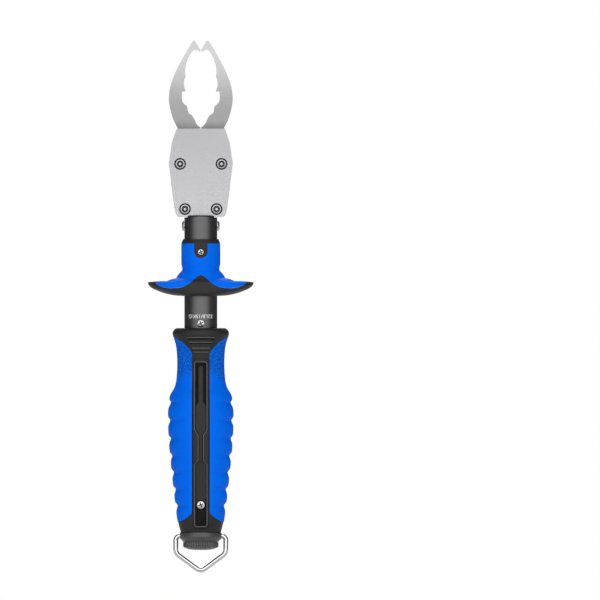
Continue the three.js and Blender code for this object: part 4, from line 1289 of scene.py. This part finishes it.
class LIPGRIP_OT_end(Build, bpy.types.Operator):
    """Adds the swivel collar and the ribbed end cap"""
    bl_idname = "lip_grip.end"
    bl_label = "Collar and end cap"

    RIBS = 42

    def build(self, scene):
        low = cad("ring_collar")[0].z
        hub, hub_top = 8.2, 9.85
        cap_way, cap_way_top = CAP_STEP + 0.25, 4.9
        skirt = smooth_line([(9.1, 4.6), (9.75, 5.1), (10.3, 5.7), (10.5, 6.3), (10.52, 7.2), (10.5, 8.3)], 4)
        groove = [(10.4, 8.62), (10.13, 8.66), (10.13, 8.18), (hub, 8.18)]
        profile = [(STEM_WAY, cap_way_top), (cap_way, cap_way_top), (cap_way, low - 0.22),
                   *arc(8.75, low + 0.15, 0.37, -90, -20, 4), *skirt, *groove, (hub, hub_top),
                   (STEM_WAY, hub_top)]
        sockets = [rod(1.45, (s * 7.6, 0, LOOP_AXIS), (s * 20, 0, LOOP_AXIS), 48) for s in (-1, 1)]
        piece("ring_collar_fine", carve(spun(profile, 160), *sockets), "black_plastic_satin", "ring_collar",
              replaces=("ring_collar",))
        piece("end_cap_fine", self.cap(), "black_plastic_satin", "handle",
              replaces=("end_cap",))

    def cap(self):
        radius, top = cad("end_cap")[1].x, 4.0
        dish = smooth_line([(4.5, 0.1), (6.1, 0.4), (7.4, 0.85), (8.3, 1.25), (radius - 0.2, 1.5)], 4)
        profile = [(0, 0), (3, 0), *dish, (radius, 1.6), (radius, 2.4), (radius, 3.4), (radius - 0.02, 3.75),
                   (radius - 0.2, top - 0.02), (CAP_STEP, top), (CAP_STEP, 4.62), (STEM_WAY, 4.62),
                   (STEM_WAY, top), (2.9, top), (2.9, 8.9), (0, 9)]
        rib_low, rib_high, rib_depth = 1.5, 3.8, 0.34
        bm = spun(profile, self.RIBS * 6)
        for vert in bm.verts:
            flat = math.hypot(vert.co.x, vert.co.y)
            if flat > radius - 0.1 and rib_low < vert.co.z < rib_high:
                wave = 0.5 - 0.5 * math.cos(self.RIBS * math.atan2(vert.co.y, vert.co.x))
                keep = 1 - rib_depth * wave / flat
                vert.co.x *= keep
                vert.co.y *= keep
        return bm


def tube_along(path, radius, sides):
    """A round wire along a list of points, its ends capped."""
    bm = bmesh.new()
    rings = []
    up = Vector((0, 1, 0))
    for i, point in enumerate(path):
        ahead = (path[min(i + 1, len(path) - 1)] - path[max(i - 1, 0)]).normalized()
        across = ahead.cross(up).normalized()
        lift = across.cross(ahead)
        circle = bmesh.ops.create_circle(bm, segments=sides, radius=radius)["verts"]
        frame_of = Matrix((across, lift, ahead)).transposed().to_4x4()
        bmesh.ops.transform(bm, matrix=Matrix.Translation(point) @ frame_of, verts=circle)
        rings.append(circle)
    for first, second in zip(rings, rings[1:]):
        edges = {edge for ring in (first, second) for vert in ring for edge in vert.link_edges
                 if all(end in ring for end in edge.verts)}
        bmesh.ops.bridge_loops(bm, edges=list(edges))
    bmesh.ops.holes_fill(bm, edges=[edge for edge in bm.edges if edge.is_boundary], sides=0)
    bmesh.ops.recalc_face_normals(bm, faces=bm.faces)
    return bm


class LIPGRIP_OT_loop(Build, bpy.types.Operator):
    """Adds the bent wire loop for a lanyard"""
    bl_idname = "lip_grip.loop"
    bl_label = "Lanyard loop"

    def build(self, scene):
        low, high = cad("lanyard_loop")
        wire = high.y
        half = high.x - wire
        apex = low.z + wire
        shoulder = -1.6
        slope = (shoulder - apex + 0.9) / half
        bend = 2.4
        side = [(7.9, LOOP_AXIS), (half - bend, LOOP_AXIS), *arc(half - bend, LOOP_AXIS - bend, bend, 82, 8, 8),
                (half, LOOP_AXIS - 2.6), (half, shoulder + 1.9)]
        corner = self.rounded((half, shoulder + 1.7), (half, shoulder), (half - 1.6, shoulder - 1.6 * slope))
        point = apex - 0.9
        tip = self.rounded((2.3, point + 2.3 * slope), (0, point), (-2.3, point + 2.3 * slope))
        right = [*side, *corner]
        line = [*right, *tip, *mirrored(right)]
        path = [Vector((x, 0, z)) for x, z in line]
        piece("lanyard_loop_fine", tube_along(path, wire, 32), "chrome", "lanyard_loop",
              replaces=("lanyard_loop",))

    def rounded(self, start, corner, end, steps=9):
        found = []
        for step in range(steps + 1):
            t = step / steps
            found.append(tuple((1 - t) ** 2 * a + 2 * t * (1 - t) * b + t * t * c
                               for a, b, c in zip(start, corner, end)))
        return found


class LIPGRIP_OT_springs(Build, bpy.types.Operator):
    """Adds the scale spring and the trigger's return spring"""
    bl_idname = "lip_grip.springs"
    bl_label = "Springs"

    def build(self, scene):
        for name, radius, wire, turns, joint in (("scale_spring", 5.5, 0.7, 9, "scale_slide"),
                                                 ("return_spring", 4.8, 0.6, 6, "trigger_slide")):
            low, high = cad(name)
            coil = self.coil(radius, wire, low.z + wire, high.z - wire, turns)
            made = piece(name + "_fine", coil, "spring_steel", "scale_tube", replaces=(name,))
            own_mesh(made)

    def coil(self, radius, wire, low, high, turns):
        bm = bmesh.new()
        ring = bmesh.ops.create_circle(bm, segments=16, radius=wire)["verts"]
        bmesh.ops.rotate(bm, verts=ring, matrix=Matrix.Rotation(math.pi / 2, 3, "X"))
        bmesh.ops.translate(bm, verts=ring, vec=(radius, 0, low))
        steps = turns * 40
        bmesh.ops.spin(bm, geom=[*bm.verts, *bm.edges], axis=(0, 0, 1), cent=(0, 0, 0),
                       dvec=(0, 0, (high - low) / steps), angle=TURN * turns, steps=steps)
        bmesh.ops.holes_fill(bm, edges=[edge for edge in bm.edges if edge.is_boundary], sides=0)
        bmesh.ops.recalc_face_normals(bm, faces=bm.faces)
        return bm


class LIPGRIP_OT_inner_finishes(Build, bpy.types.Operator):
    """Gives the kept inner parts their finishes"""
    bl_idname = "lip_grip.inner_finishes"
    bl_label = "Inner parts"

    def build(self, scene):
        coats = {row["node"]: row["material_slot"] for row in frame["record"]["subparts"]}
        for name, node in frame["nodes"].items():
            if not node.hide_render:
                node.data.materials.clear()
                node.data.materials.append(finish(coats[name]))


OPERATORS = (
    LIPGRIP_OT_stage,
    LIPGRIP_OT_plates,
    LIPGRIP_OT_head_screws,
    LIPGRIP_OT_jaws,
    LIPGRIP_OT_tube,
    LIPGRIP_OT_scale_marks,
    LIPGRIP_OT_cross_screws,
    LIPGRIP_OT_trigger,
    LIPGRIP_OT_handle_body,
    LIPGRIP_OT_pads,
    LIPGRIP_OT_trim,
    LIPGRIP_OT_end,
    LIPGRIP_OT_loop,
    LIPGRIP_OT_springs,
    LIPGRIP_OT_inner_finishes,
)
SETTINGS = {
    "lip_grip_handle": LipGripHandle,
    "lip_grip_head": LipGripHead,
    "lip_grip_scale": LipGripScale,
    "lip_grip_colours": LipGripColours,
    "lip_grip_stage": LipGripStage,
}


class LIPGRIP_PT_panel(bpy.types.Panel):
    """Lists the settings and the pieces"""
    bl_label = "Lip Grip"
    bl_idname = "LIPGRIP_PT_panel"
    bl_space_type = "VIEW_3D"
    bl_region_type = "UI"
    bl_category = "Lip Grip"

    def draw(self, context):
        for name, group in SETTINGS.items():
            box = self.layout.box()
            settings = getattr(context.scene, name)
            for key in group.__annotations__:
                box.prop(settings, key)
        for operator in OPERATORS:
            self.layout.operator(operator.bl_idname)


CLASSES = (*SETTINGS.values(), *OPERATORS, LIPGRIP_PT_panel)


def register():
    for cls in CLASSES:
        bpy.utils.register_class(cls)
    for name, group in SETTINGS.items():
        setattr(bpy.types.Scene, name, PointerProperty(type=group))


def unregister():
    for name in SETTINGS:
        delattr(bpy.types.Scene, name)
    for cls in reversed(CLASSES):
        bpy.utils.unregister_class(cls)


def main():
    register()
    for operator in OPERATORS:
        group, name = operator.bl_idname.split(".")
        getattr(getattr(bpy.ops, group), name)()


if __name__ == "__main__":
    main()
